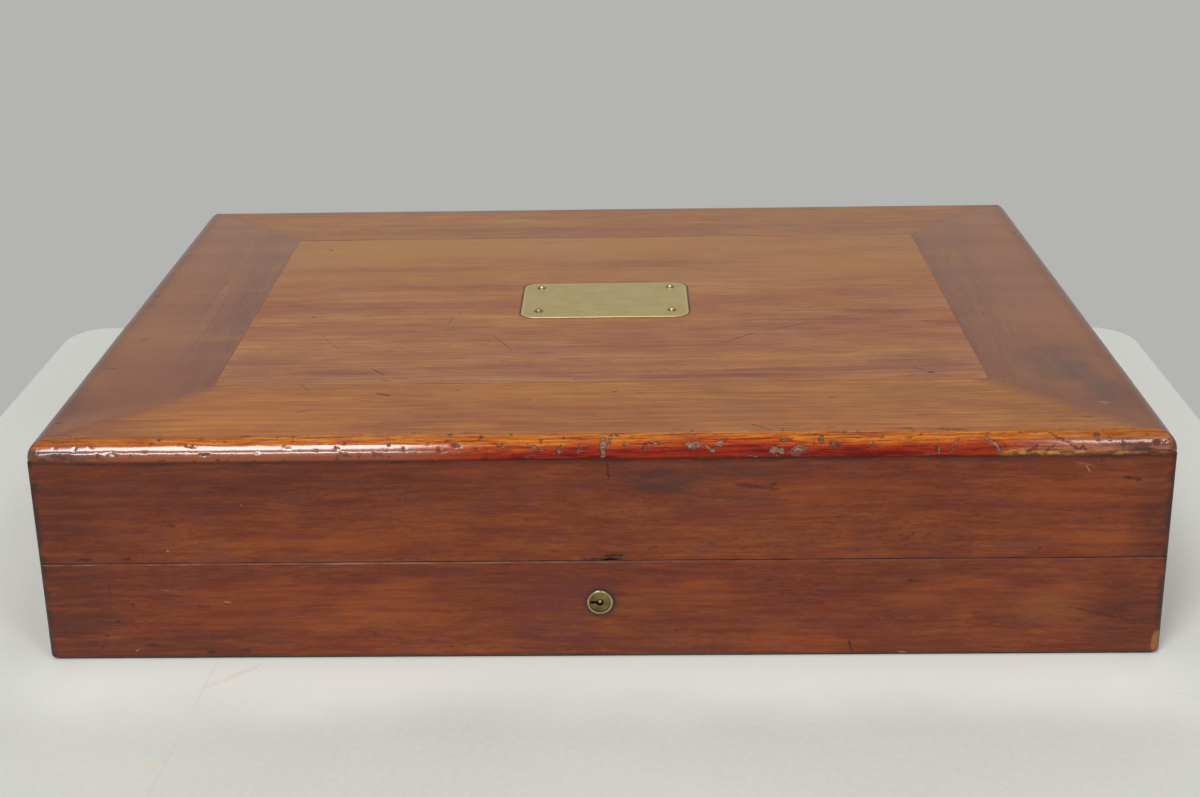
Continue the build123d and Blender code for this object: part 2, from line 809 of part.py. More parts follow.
save(wall_lining(split_height + lining_setback, lid_ceiling), "lid_wall_lining")

with BuildPart() as lid_lining_pad:
    with BuildSketch(Plane.XY.offset(lid_ceiling)):
        Rectangle(inner_width - 2 * pad_gap, inner_depth - 2 * pad_gap)
    extrude(amount=lining_pad_thickness)
    fillet(lid_lining_pad.faces().sort_by(Axis.Z)[0].edges(), pad_round)
save(lid_lining_pad, "lid_lining_pad")

# ---------------------------------------------------------------- base racks and dividers
lined_front = -lined_depth / 2
lined_side = lined_width / 2
divider_front = lined_front + front_section_depth
divider_top = floor_top + divider_height

with BuildPart() as long_divider:
    block(
        (-lined_side, lined_side),
        (divider_front, divider_front + divider_thickness),
        (floor_top, divider_top),
    )
    fillet(long_divider.edges().filter_by(Axis.X).group_by(Axis.Z)[-1], divider_round)
save(long_divider, "long_divider")

with BuildPart() as short_divider:
    block(
        (-divider_thickness / 2, divider_thickness / 2),
        (lined_front + divider_end_gap, divider_front),
        (floor_top, divider_top),
    )
    fillet(short_divider.edges().filter_by(Axis.Y).group_by(Axis.Z)[-1], divider_round)
save(short_divider, "short_divider")

rack_y = (divider_front - rack_setback - rack_thickness, divider_front - rack_setback)
rest_y = (lined_front + rack_setback, lined_front + rack_setback + rack_thickness)
bays = {
    "fork": (-lined_side, -divider_thickness / 2),
    "spoon": (divider_thickness / 2, lined_side),
}
rest_names = {"fork": "fork_tine_rest", "spoon": "spoon_bowl_rest"}
for cutlery, bay in bays.items():
    centres = spread(bay[0], bay[1], rack_slot_count)
    rack_z = (floor_top, floor_top + rack_height)
    rack = slotted_bar(
        bay, rack_y, rack_z, centres, rack_slot_width, rack_slot_depth, rack_slot_mouth, opens_up=True
    )
    save(rack, f"{cutlery}_handle_rack")
    with BuildPart() as rest:
        block(bay, rest_y, (floor_top, floor_top + rest_height))
        for centre in centres:
            drop = floor_top + rest_height + rest_scallop_radius - rest_scallop_depth
            bar_to_back(centre, drop, rest_y[0] - 1, rest_y[1] + 1, rest_scallop_radius, Mode.SUBTRACT)
    save(rest, rest_names[cutlery])

# ---------------------------------------------------------------- knife racks in the lid
knife_z = (lid_ceiling - knife_rack_height, lid_ceiling)
knife_centres = spread(knife_end_margin - lined_side, lined_side - knife_end_margin, knife_slot_count)
knife_racks = {
    "knife_handle_rack": (knife_handle_rack_y, knife_handle_slot, handle_slot_mouth),
    "knife_blade_rack": (knife_blade_rack_y, knife_blade_slot, blade_slot_mouth),
}
for name, (middle, slot_width, mouth_round) in knife_racks.items():
    rack = slotted_bar(
        (-lined_side, lined_side),
        (middle - knife_rack_thickness / 2, middle + knife_rack_thickness / 2),
        knife_z,
        knife_centres,
        slot_width,
        knife_slot_depth,
        mouth_round,
        opens_up=False,
    )
    save(rack, name)
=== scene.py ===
from functools import reduce
from math import atan2, copysign, cos, exp, pi, radians, sin

import bmesh
import bpy
from mathutils import Matrix, Vector, noise


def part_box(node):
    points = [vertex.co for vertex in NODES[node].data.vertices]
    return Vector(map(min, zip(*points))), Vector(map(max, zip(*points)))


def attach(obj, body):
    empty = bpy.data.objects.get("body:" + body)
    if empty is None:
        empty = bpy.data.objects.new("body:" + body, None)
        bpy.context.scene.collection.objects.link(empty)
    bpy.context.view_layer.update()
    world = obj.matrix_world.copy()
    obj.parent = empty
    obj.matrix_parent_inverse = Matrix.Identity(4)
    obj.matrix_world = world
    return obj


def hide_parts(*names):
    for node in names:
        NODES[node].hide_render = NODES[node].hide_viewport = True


# A mahogany silverware chest: a deep lid under a thumb-moulded, mitred top, a let-in brass
# name plate on four domed pins, a round lock nozzle, and slotted racks covered in baize.
# +X is the chest's right, -Y its front, +Z up. Meshes are in metres. Patterns and marks
# are placed in millimetres, in the same frame.

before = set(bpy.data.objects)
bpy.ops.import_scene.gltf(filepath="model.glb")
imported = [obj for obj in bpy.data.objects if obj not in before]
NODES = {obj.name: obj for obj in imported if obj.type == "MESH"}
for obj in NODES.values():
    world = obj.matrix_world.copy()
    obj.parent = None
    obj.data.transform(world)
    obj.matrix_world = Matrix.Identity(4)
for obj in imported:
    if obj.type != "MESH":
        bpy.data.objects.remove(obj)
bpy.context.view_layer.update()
noise.seed_set(1)  # without it noise_vector differs from run to run

MM = 0.001

# ------------------------------------------------------------------ sizes, in millimetres
HALF_WIDTH = 254.0
HALF_DEPTH = 190.5
TOP_Z = 108.0
TOP_UNDERSIDE = 98.6
RAIL_WIDTH = 70.0
EDGE_ROUND = 8.4
CORNER_ROUND = 5.5
WALL_FRONT = -190.1
WALL_SIDE = 253.6
SPLIT_Z = 49.0
PLATE_HALF_X, PLATE_HALF_Y, PLATE_ROUND = 44.45, 28.85, 8.0
PLATE_X, PLATE_Y = 1.7, 2.4
PIN_REACH_X, PIN_REACH_Y = 35.3, 19.5
PIN_X, PIN_Y = 1.9, 3.6
LOCK_Z = 28.5


# ------------------------------------------------------------------ shader nodes
class Wire:
    """A value in a node tree. Plain arithmetic on it adds the node for that step."""

    def __init__(self, socket):
        self.socket = socket
        self.is_vector = socket.type in ("VECTOR", "RGBA")

    def __abs__(self):
        return calc("ABSOLUTE", self)


def arithmetic(operation):
    """The method for an operator, and the one for when the Wire is on its right."""
    return (lambda wire, other: step(operation, wire, other),
            lambda wire, other: step(operation, other, wire))


for sign, operation in (("add", "ADD"), ("sub", "SUBTRACT"), ("mul", "MULTIPLY"),
                        ("truediv", "DIVIDE"), ("pow", "POWER")):
    on_left, on_right = arithmetic(operation)
    setattr(Wire, f"__{sign}__", on_left)
    setattr(Wire, f"__r{sign}__", on_right)


class Outlets:
    """A node's outputs as Wires, by name, number or slice."""

    def __init__(self, sockets):
        self.sockets = sockets

    def __getitem__(self, key):
        found = self.sockets[key]
        return [Wire(socket) for socket in found] if isinstance(key, slice) else Wire(found)


def feed(socket, value):
    """Links a socket to a Wire, or sets it."""
    if isinstance(value, Wire):
        value.socket.id_data.links.new(value.socket, socket)
    else:
        socket.default_value = value


def home(values):
    """The first Wire among some values: its tree is where their node goes."""
    return next(value for value in values if isinstance(value, Wire))


def node(where, kind, inputs=None, **settings):
    """Adds a node to a tree, or to a Wire's tree, and returns its outputs."""
    tree = where.socket.id_data if isinstance(where, Wire) else where
    made = tree.nodes.new(kind)
    for name, value in settings.items():
        setattr(made, name, value)
    for name, value in (inputs or {}).items():
        feed(made.inputs[name], value)
    return Outlets(made.outputs)


def calc(operation, *values, clamp=False):
    """One step of arithmetic on numbers."""
    return node(home(values), "ShaderNodeMath", dict(enumerate(values)),
                operation=operation, use_clamp=clamp)[0]


def vector_calc(operation, *values, scale=None):
    """One step of arithmetic on vectors."""
    inputs = dict(enumerate(values))
    if scale is not None:
        inputs["Scale"] = scale
    made = node(home([*values, scale]), "ShaderNodeVectorMath", inputs, operation=operation)
    return made["Value" if operation in ("DOT_PRODUCT", "LENGTH", "DISTANCE") else "Vector"]


def step(operation, first, second):
    """Arithmetic on vectors where either side is one, and otherwise on numbers."""
    vectors = [value for value in (first, second)
               if isinstance(value, tuple) or getattr(value, "is_vector", False)]
    if not vectors:
        return calc(operation, first, second)
    if operation == "MULTIPLY" and len(vectors) == 1:
        number = second if vectors[0] is first else first
        return vector_calc("SCALE", vectors[0], scale=number)
    return vector_calc(operation, first, second)


def most(*values):
    """The largest of some numbers."""
    return reduce(lambda first, second: calc("MAXIMUM", first, second), values)


def remap(value, low, high, to_low=0.0, to_high=1.0):
    """Eases a value from one range to another, and holds it at the ends."""
    return node(value, "ShaderNodeMapRange", {
        "Value": value, "From Min": low, "From Max": high, "To Min": to_low,
        "To Max": to_high}, interpolation_type="SMOOTHSTEP")["Result"]


def tint(mask, under, over, how="MIX"):
    """Lays one colour over another where the mask is white."""
    under, over = ((*colour, 1.0) if isinstance(colour, tuple) else colour
                   for colour in (under, over))
    return node(home((mask, under, over)), "ShaderNodeMix", {0: mask, 6: under, 7: over},
                data_type="RGBA", blend_type=how)[2]


def cloud(place, stretch, detail=3.0, rough=0.5, warp=0.0, seed=0.0):
    """Noise in clouds per millimetre: one number, or X's and then the others'."""
    each = stretch if isinstance(stretch, tuple) else (stretch,)
    scaled = place * (*each, *each[-1:] * (3 - len(each)))
    if seed:
        scaled = scaled + (seed, seed * 0.7, seed * 1.3)
    return node(place, "ShaderNodeTexNoise", {
        "Vector": scaled, "Scale": 1.0, "Detail": detail, "Roughness": rough,
        "Distortion": warp})["Fac"]


def turned(place, angle):
    """A place turned about the upright axis."""
    return node(place, "ShaderNodeVectorRotate", {"Vector": place, "Angle": angle},
                rotation_type="Z_AXIS")[0]


def parts_of(place):
    """A place's X, Y and Z."""
    return node(place, "ShaderNodeSeparateXYZ", {"Vector": place})


def new_group(name, inputs, outputs):
    """A node group's inputs and its end. An input of None is a vector, others a number."""
    group = bpy.data.node_groups.new(name, "ShaderNodeTree")
    for label, value in inputs.items():
        kind = "NodeSocketVector" if value is None else "NodeSocketFloat"
        made = group.interface.new_socket(label, in_out="INPUT", socket_type=kind)
        if value is not None:
            made.default_value = value
    for label in outputs.split():
        group.interface.new_socket(label, in_out="OUTPUT", socket_type="NodeSocketFloat")
    return Outlets(group.nodes.new("NodeGroupInput").outputs), group.nodes.new("NodeGroupOutput")


def close_group(end, **results):
    """Feeds a group's outputs, and returns the group."""
    for name, value in results.items():
        feed(end.inputs[name], value)
    return end.id_data


def use(group, **inputs):
    """Places a node group and returns its outputs."""
    return node(home(inputs.values()), "ShaderNodeGroup", inputs, node_tree=group)


def grain_group():
    """Mahogany figure with X along the grain: bands, streaks, fibres and open pores."""
    given, end = new_group("wood_grain", {"Place": None, "Seed": 0.0, "Short": 1.0},
                           "Bands Streaks Fibres Pores Height")
    shift = (13.7, 71.3, 29.1) * given["Seed"]
    place = given["Place"] + shift
    bend = calc("MULTIPLY_ADD", cloud(place, (0.006, 0.010), 2.0), 12.0, -6.0)
    wave = node(place, "ShaderNodeCombineXYZ", {"Y": bend, "Z": bend})[0]
    place = place + wave
    bands = cloud(place, (0.0016, 0.028), 5.0, 0.55)
    squeeze = node(place, "ShaderNodeCombineXYZ", {"X": given["Short"], "Y": 1.0, "Z": 1.0})[0]
    place = place * squeeze
    streaks = cloud(place, (0.0085, 0.36), 4.0, 0.66)
    fibres = cloud(place, (0.045, 0.95), 3.0, 0.7)
    dashes = cloud(place, (0.11, 1.5), 1.0, 0.5, seed=4.0)
    crowd = cloud(place, (0.012, 0.05), 2.0, 0.5, seed=9.0)
    pores = remap(dashes, 0.58, 0.68) * remap(crowd, 0.35, 0.65, 0.3, 1.0)
    height = fibres * 0.35 - pores
    return close_group(end, Bands=bands, Streaks=streaks, Fibres=fibres, Pores=pores,
                       Height=height)


def stroke_group():
    """A stroke from one point to another; the shake makes its edge ragged."""
    given, end = new_group("stroke", {"Place": None, "Shake": None, "Broken": 1.0,
                                      "From": None, "To": None, "Width": 0.5}, "Mask")
    reach = calc("MINIMUM", given["Width"] * 2.4, 2.2)
    place = given["Place"] + given["Shake"] * reach
    way = given["To"] - given["From"]
    ahead = place - given["From"]
    share = calc("DIVIDE", vector_calc("DOT_PRODUCT", ahead, way),
                 vector_calc("DOT_PRODUCT", way, way), clamp=True)
    nearest = way * share
    gap = vector_calc("LENGTH", ahead - nearest)
    middle = abs(share - 0.5)
    taper = given["Width"] * remap(middle, 0.2, 0.5, 1.0, 0.4)
    soft = remap(gap / taper, 0.25, 1.1, 1.0, 0.0)
    return close_group(end, Mask=soft * given["Broken"])


def patch_group():
    """A soft patch round a point, with its own reach on each axis. It lays stained marks,
    painted light and painted shade.
    """
    given, end = new_group("stain_and_shade", {"Place": None, "Centre": None, "Reach": None, "Ragged": 0.6},
                           "Mask")
    away = (given["Place"] - given["Centre"]) / given["Reach"]
    uneven = given["Ragged"] * (cloud(given["Place"], (0.05, 0.12), 4.0, 0.6) - 0.5)
    gap = vector_calc("LENGTH", away) + uneven * 2.0
    return close_group(end, Mask=remap(gap, 0.25, 1.15, 1.0, 0.0))


def wear_group():
    """Use over the years: dark specks, small knocks, short scratches, and hazy patches."""
    given, end = new_group("old_wear", {"Place": None, "Seed": 0.0},
                           "Specks Scratches Haze")
    shift = (31.0, 17.0, 53.0) * given["Seed"]
    place = given["Place"] + shift
    cells = node(place, "ShaderNodeTexVoronoi",
                 {"Vector": place, "Scale": 0.075, "Randomness": 1.0})
    near = cells["Distance"] * 13.3
    pick = node(place, "ShaderNodeSeparateColor", {"Color": cells["Color"]})
    size = calc("MULTIPLY_ADD", pick[1], 0.7, 0.15)
    spot = remap(near / size, 0.5, 1.3, 1.0, 0.0)
    specks = spot * calc("GREATER_THAN", pick[0], 0.72)
    lines = []
    for turn, seed in ((0.55, 3.0), (-0.8, 8.0), (1.9, 15.0)):
        along = turned(place, turn)
        thin = cloud(along, (0.035, 1.4, 0.4), 0.0, 0.5, seed=seed)
        here = cloud(along, (0.02, 0.03), 1.0, 0.5, seed=seed + 2.0)
        lines.append(remap(thin, 0.80, 0.86) * remap(here, 0.5, 0.6))
    scratches = most(*lines)
    haze = cloud(place, 0.012, 4.0, 0.55, seed=6.0)
    return close_group(end, Specks=specks, Scratches=scratches, Haze=haze)


def patina_group():
    """Old brass: cloudy tarnish, polishing lines along X, and small pits."""
    given, end = new_group("brass_patina", {"Place": None, "Seed": 0.0},
                           "Tarnish Lines Pits")
    shift = (7.0, 19.0, 3.0) * given["Seed"]
    place = given["Place"] + shift
    tarnish = cloud(place, (0.11, 0.13), 5.0, 0.62)
    lines = cloud(place, (0.09, 3.5), 2.0, 0.6)
    pits = remap(cloud(place, 1.3, 2.0), 0.66, 0.76)
    return close_group(end, Tarnish=tarnish, Lines=lines, Pits=pits)


def nap_group():
    """The nap of a felted cloth: fibres lying every way over a slightly uneven pile."""
    given, end = new_group("cloth_nap", {"Place": None, "Seed": 0.0},
                           "Fuzz Shade Height")
    shift = (11.0, 5.0, 23.0) * given["Seed"]
    place = given["Place"] + shift
    fuzz = cloud(place, 1.9, 4.0, 0.7, warp=1.2)
    shade = cloud(place, (0.02, 0.03), 4.0, 0.6)
    tufts = cloud(place, 0.7, 2.0, 0.5, warp=0.8)
    return close_group(end, Fuzz=fuzz, Shade=shade, Height=calc("MULTIPLY_ADD", tufts, 0.6, fuzz))


GRAIN = grain_group()
STROKE = stroke_group()
STAIN_AND_SHADE = patch_group()
WEAR = wear_group()
PATINA = patina_group()
NAP = nap_group()


# ------------------------------------------------------------------ materials
def start_material(name, **settings):
    """A material with its shader, and its place in millimetres in the chest's frame."""
    material = bpy.data.materials.new(name)
    material.use_nodes = True
    tree = material.node_tree
    shader = tree.nodes["Principled BSDF"]
    for socket, value in settings.items():
        shader.inputs[socket.replace("_", " ")].default_value = value
    place = node(tree, "ShaderNodeTexCoord")["Object"] * 1000.0
    return material, shader, place


def bump(shader, height, strength, distance, under=None):
    """Relief of this height, in metres, on the shader's normal and on any relief under it."""
    inputs = {"Height": height, "Strength": strength, "Distance": distance}
    if under is not None:
        inputs["Normal"] = under
    feed(shader.inputs["Normal"], node(height, "ShaderNodeBump", inputs)["Normal"])


def surface(shader, colour, rough):
    """Feeds a shader its colour and its roughness."""
    feed(shader.inputs["Base Color"], colour)
    feed(shader.inputs["Roughness"], rough)


def strokes(place, marks):
    """The strongest of several strokes: each is two points, a width and a strength."""
    rough = node(place, "ShaderNodeTexNoise", {"Vector": place, "Scale": 0.5, "Detail": 2.0})
    shake = rough["Color"] - (0.5, 0.5, 0.5)
    broken = remap(rough["Fac"], 0.32, 0.5, 0.5, 1.0)
    total = None
    for start, end, width, strength in marks:
        mask = use(STROKE, Place=place, Shake=shake, Broken=broken, From=start, To=end,
                   Width=width)["Mask"] * strength
        total = mask if total is None else most(total, mask)
    return total


def stains_and_shading(place, spots):
    """The strongest of several soft patches, for stained marks and for painted light and
    shade: each is a centre, a reach and a strength.
    """
    total = None
    for centre, reach, strength in spots:
        mask = use(STAIN_AND_SHADE, Place=place, Centre=centre, Reach=reach)["Mask"] * strength
        total = mask if total is None else most(total, mask)
    return total


def near_line(value, line, width):
    """White on a line and black a width away from it."""
    gap = abs(value - line)
    return remap(gap, width * 0.3, width, 1.0, 0.0)


def mahogany(name, grain_turn, seed, shades, gloss, marks=(), dark_spots=(), pale_marks=(),
             red_spots=(), seams=(), extra=None, specular=0.36, lively=1.0, short=1.0,
             light_spots=(), shade_spots=(), coat_ior=1.5):
    """French-polished mahogany. The shades are the dark, middle and light of the wood."""
    material, shader, place = start_material(
        name, Specular_IOR_Level=specular, Coat_Weight=0.0, Coat_Roughness=0.15,
        Coat_IOR=coat_ior)
    split = parts_of(place)
    along = turned(place, grain_turn)
    grain = use(GRAIN, Place=along, Seed=seed, Short=short)
    wear = use(WEAR, Place=place, Seed=seed)
    dark, middle, light = shades
    colour = tint(remap(grain["Bands"], 0.36, 0.64), dark, light)
    drift = cloud(along, (0.007, 0.022), 4.0, 0.6, seed=seed + 3.0)
    colour = tint(remap(drift, 0.36, 0.62, 0.1, 0.75), colour, middle)
    mottle = cloud(along, (0.030, 0.085), 4.0, 0.62, seed=seed + 11.0)
    low, high = 1.0 - 0.13 * lively, 1.0 + 0.11 * lively
    shade = remap(grain["Streaks"], 0.32, 0.68, low, high)
    shade = shade * remap(mottle, 0.3, 0.7, 1.0 - 0.10 * lively, 1.0 + 0.08 * lively)
    shade = shade * remap(grain["Fibres"], 0.3, 0.7, low, high)
    shaded = node(place, "ShaderNodeCombineColor",
                  {"Red": shade, "Green": shade ** 1.8, "Blue": shade ** 1.6})[0]
    colour = tint(1.0, colour, shaded, "MULTIPLY")
    bloom = cloud(along, (0.055, 0.16), 4.0, 0.66, seed=seed + 17.0)
    colour = tint(remap(bloom, 0.46, 0.70, 0.0, 0.30 * lively), colour,
                  (dark[0] * 0.92, dark[1] * 1.25 + 0.006, dark[2] + 0.026))
    colour = tint(grain["Pores"] * 0.42, colour, tuple(value * 0.4 for value in dark))
    if light_spots:
        lit = stains_and_shading(place, light_spots) * remap(grain["Streaks"], 0.36, 0.60, 0.4, 1.0)
        colour = tint(lit, colour, tuple(
            min(1.0, value * gain) for value, gain in zip(light, (1.55, 1.60, 1.1))))
    if shade_spots:
        dim = stains_and_shading(place, shade_spots) * remap(grain["Streaks"], 0.40, 0.64, 1.0, 0.5)
        colour = tint(dim, colour, (dark[0] * 0.52, dark[1] * 0.62, dark[2] * 0.9))
    shine = None
    if extra is not None:
        colour, shine = extra(colour, place, split, grain)
    if red_spots:
        reddish = stains_and_shading(place, red_spots) * remap(grain["Streaks"], 0.32, 0.62, 1.0, 0.35)
        colour = tint(reddish, colour, (0.135, 0.024, 0.022))
    if dark_spots:
        murky = stains_and_shading(place, dark_spots) * remap(mottle, 0.36, 0.62, 1.0, 0.45)
        colour = tint(murky, colour, (0.060, 0.030, 0.021))
    scored = wear["Specks"] * 0.7
    for line, width, strength, axis in seams:
        ragged = remap(grain["Streaks"], 0.4, 0.6, 0.5, 1.0)
        scored = most(scored, ragged * (near_line(split[axis], line, width) * strength))
    if marks:
        scored = most(scored, strokes(place, marks))
    colour = tint(scored, colour, (0.028, 0.011, 0.009))
    pale = wear["Scratches"] * 0.12
    if pale_marks:
        pale = most(pale, strokes(place, pale_marks))
    colour = tint(pale, colour, (0.36, 0.22, 0.13))
    rough = remap(wear["Haze"], 0.3, 0.7, gloss - 0.06, gloss + 0.1) + grain["Pores"] * 0.12
    surface(shader, colour, calc("ADD", rough, scored * 0.25, clamp=True))
    if shine is not None:
        feed(shader.inputs["Coat Weight"], shine)
    relief = grain["Height"] * 0.4 - most(scored, pale)
    swell = cloud(along, (0.01, 0.05), 2.0, 0.5, seed=2.0)
    broad = node(place, "ShaderNodeBump",
                 {"Height": swell, "Strength": 0.5, "Distance": 0.0006})["Normal"]
    bump(shader, relief, 0.5, 0.00008, broad)
    return material


# Linear colours: dark, middle and light of each board's figure.
WALL_SHADES = ((0.122, 0.022, 0.007), (0.174, 0.029, 0.006), (0.198, 0.041, 0.007))
TOP_SHADES = ((0.270, 0.070, 0.010), (0.330, 0.098, 0.009), (0.380, 0.132, 0.010))
BACK_RAIL_SHADES = ((0.270, 0.078, 0.010), (0.315, 0.104, 0.010), (0.355, 0.132, 0.012))
SIDE_RAIL_SHADES = ((0.160, 0.040, 0.016), (0.215, 0.068, 0.018), (0.260, 0.092, 0.022))
PANEL_SHADES = ((0.275, 0.082, 0.038), (0.335, 0.118, 0.036), (0.385, 0.160, 0.044))


def flat_marks(points):
    """Strokes drawn on the top."""
    return [((x0, y0, TOP_Z), (x1, y1, TOP_Z), width, strength)
            for x0, y0, x1, y1, width, strength in points]


def front_marks(points):
    """Strokes drawn on the front."""
    return [((x0, WALL_FRONT, z0), (x1, WALL_FRONT, z1), width, strength)
            for x0, z0, x1, z1, width, strength in points]


def flat_spots(points, deep=40):
    """Soft patches on the top, for stained marks and for painted light and shade; each is X,
    Y, its reach along them, and its strength.
    """
    return [((x, y, TOP_Z), (long, wide, deep), strength) for x, y, long, wide, strength in points]


def front_spots(points, deep=30):
    """Soft patches on the front, for stained marks and for painted light and shade; each is
    X, Z, its reach along them, and its strength.
    """
    return [((x, WALL_FRONT, z), (long, deep, high), strength)
            for x, z, long, high, strength in points]


def wall_edges(colour, place, split, grain):
    """Dark, ragged corners, and painted shade along the foot, under the moulding and in the
    seam where the lid shuts."""
    side = WALL_SIDE - abs(split[0])
    deep = -WALL_FRONT - abs(split[1])
    outside = remap(calc("MINIMUM", side, deep), 0.6, 1.6, 1.0, 0.0)
    grime = cloud(place, 0.16, 4.0, 0.68)
    reach = remap(grime, 0.32, 0.68, 1.4, 5.5)
    gap = most(side, deep)
    corner = remap(gap / reach, 0.25, 1.3, 0.85, 0.0) * outside
    colour = tint(corner, colour, (0.034, 0.015, 0.012))
    # noise that breaks up the painted shade below
    shade_breakup = remap(cloud(place, (0.05, 0.12), 4.0, 0.65, seed=3.0), 0.38, 0.62, 0.4, 1.0)
    # painted shade on the wall just under the overhanging moulding
    shade_under_top = remap(TOP_UNDERSIDE - split[2], 0.3, 3.0, 0.8, 0.0) * shade_breakup
    # painted shade in the seam where the lid shuts on the base
    seam_shade = near_line(split[2], SPLIT_Z + 0.10, 0.55) * shade_breakup
    # painted shade along the foot, where the chest stands on the table
    foot = remap(split[2], 0.8, 3.2, 0.85, 0.0) * shade_breakup
    low = most(shade_under_top, seam_shade, foot) * outside
    return tint(low, colour, (0.024, 0.007, 0.006)), None


def off_mitre(split, grain):
    """1 along a mitre and 0 a little inside the long rail, with a ragged edge."""
    out = HALF_WIDTH - abs(split[0])
    deep = HALF_DEPTH - abs(split[1])
    gap = out - deep
    return remap(calc("MULTIPLY_ADD", grain["Streaks"], -14.0, gap), -6.0, 7.0, 1.0, 0.0)


def round_angle(split):
    """Degrees round the front moulding: 0 where the flat ends, 90 at its foot."""
    turn = calc("ARCTAN2", EDGE_ROUND - HALF_DEPTH - split[1], split[2] - (TOP_Z - EDGE_ROUND))
    return turn * (180 / pi)


def front_rail_edge(colour, place, split, grain):
    """The handled moulding: amber above and crimson below, where the polish is rubbed through,
    with its dents bare and greyish, a painted pink sheen at the right end, and painted shade
    along its foot. Polish is left on the flat and near the ends."""
    turn = round_angle(split)
    patchy = cloud(place, (0.014, 0.06), 4.0, 0.65)
    ragged = turn + (calc("MULTIPLY_ADD", grain["Streaks"], 50.0, -25.0)
                     + calc("MULTIPLY_ADD", patchy, 60.0, -30.0))
    brown = off_mitre(split, grain) * 0.75
    colour = tint(brown, colour, (0.200, 0.062, 0.018))
    flecks = cloud(place, (0.060, 0.95), 4.0, 0.74, seed=5.0)
    ends = abs(split[0] - 20.0)
    gold = tint(remap(flecks, 0.36, 0.50), (0.20, 0.040, 0.012), (0.42, 0.110, 0.014))
    gold = tint(remap(flecks, 0.50, 0.64), gold, (0.56, 0.215, 0.030))
    amber = remap(ragged, -6.0, 12.0) * remap(ends, 140.0, 230.0, 1.0, 0.70)
    colour = tint(amber, colour, gold)
    rusty = tint(remap(flecks, 0.36, 0.62), (0.20, 0.024, 0.010), (0.46, 0.078, 0.012))
    middle = abs(split[0] - 45.0)
    colour = tint(remap(ragged, 34.0, 50.0) * remap(middle, 120.0, 200.0, 1.0, 0.5), colour, rusty)
    red = tint(remap(flecks, 0.36, 0.64), (0.115, 0.009, 0.008), (0.310, 0.028, 0.010))
    crimson = remap(ragged, 54.0, 68.0) * remap(middle, 60.0, 190.0, 1.0, 0.40)
    colour = tint(crimson, colour, red)
    blooms = cloud(place, (0.075, 0.30), 4.0, 0.65, seed=12.0)
    lilac = remap(blooms, 0.58, 0.68, 0.0, 0.6) * remap(turn, 4.0, 16.0)
    colour = tint(lilac, colour, (0.20, 0.085, 0.085))
    smooth = remap(split[0], -95.0, -45.0, 0.85, 0.0) * remap(turn, 40.0, 56.0)
    colour = tint(smooth, colour, tint(flecks, (0.190, 0.040, 0.018), (0.340, 0.105, 0.033)))
    # painted sheen: a pale pink-grey that stands in for the highlight at the right end
    pink_sheen = remap(split[0], 176.0, 200.0) * remap(ragged, 26.0, 40.0)
    colour = tint(pink_sheen * 0.8, colour,
                  tint(remap(flecks, 0.38, 0.62), (0.19, 0.060, 0.045), (0.38, 0.150, 0.080)))
    bare_foot = remap(ragged, 68.0, 82.0) * remap(split[0], 172.0, 184.0)
    grubby = remap(cloud(place, (0.16, 0.5), 4.0, 0.7, seed=7.0), 0.42, 0.60)
    colour = tint(bare_foot * 0.85, colour,
                  tint(grubby, (0.17, 0.060, 0.022), (0.50, 0.245, 0.072)))
    corner = remap(abs(split[0]), 198.0, 250.0, 0.0, 1.0)
    grime = remap(cloud(place, (0.07, 0.22), 4.0, 0.68), 0.42, 0.56)
    dirt = corner * grime * remap(turn, 46.0, 64.0, 0.35, 1.0)
    colour = tint(dirt * 0.8, colour, (0.040, 0.020, 0.017))
    bare = node(place, "ShaderNodeAttribute", attribute_name="chip")["Fac"]
    chips = cloud(place, (0.55, 1.7), 4.0, 0.72, seed=2.0)
    chipped = tint(remap(chips, 0.38, 0.50), (0.085, 0.038, 0.024), (0.235, 0.135, 0.085))
    chipped = tint(remap(chips, 0.52, 0.62), chipped, (0.37, 0.28, 0.25))
    dented = remap(bare, 0.02, 0.12)
    torn = calc("MULTIPLY_ADD", chips, 1.0, bare - 0.5)
    colour = tint(dented * remap(torn, 0.0, 0.35, 0.0, 0.75), colour, (0.070, 0.022, 0.018))
    colour = tint(dented * remap(torn, 0.42, 0.85, 0.0, 0.80), colour, chipped)
    # painted shade along the moulding's foot, where it overhangs the wall
    foot = remap(split[2], 100.0, 98.9, 0.0, 0.7)
    colour = tint(foot, colour, (0.05, 0.012, 0.010))
    polish = most(remap(split[0], -95.0, -45.0, 1.0, 0.06),
                  remap(split[0], 190.0, 212.0, 0.0, 0.35))
    lifted = remap(cloud(place, (0.05, 0.2), 3.0, seed=9.0), 0.3, 0.7, -3.0, 3.0)
    glossy = remap(turn + lifted, 40.0, 50.0, 0.12, 1.0) * remap(turn, 74.0, 84.0, 1.0, 0.30)
    on_round = remap(turn, 2.0, 18.0)
    shine = on_round * polish * glossy + (1.0 - on_round) * 0.55
    return colour, shine * remap(bare, 0.1, 0.5, 1.0, 0.2)


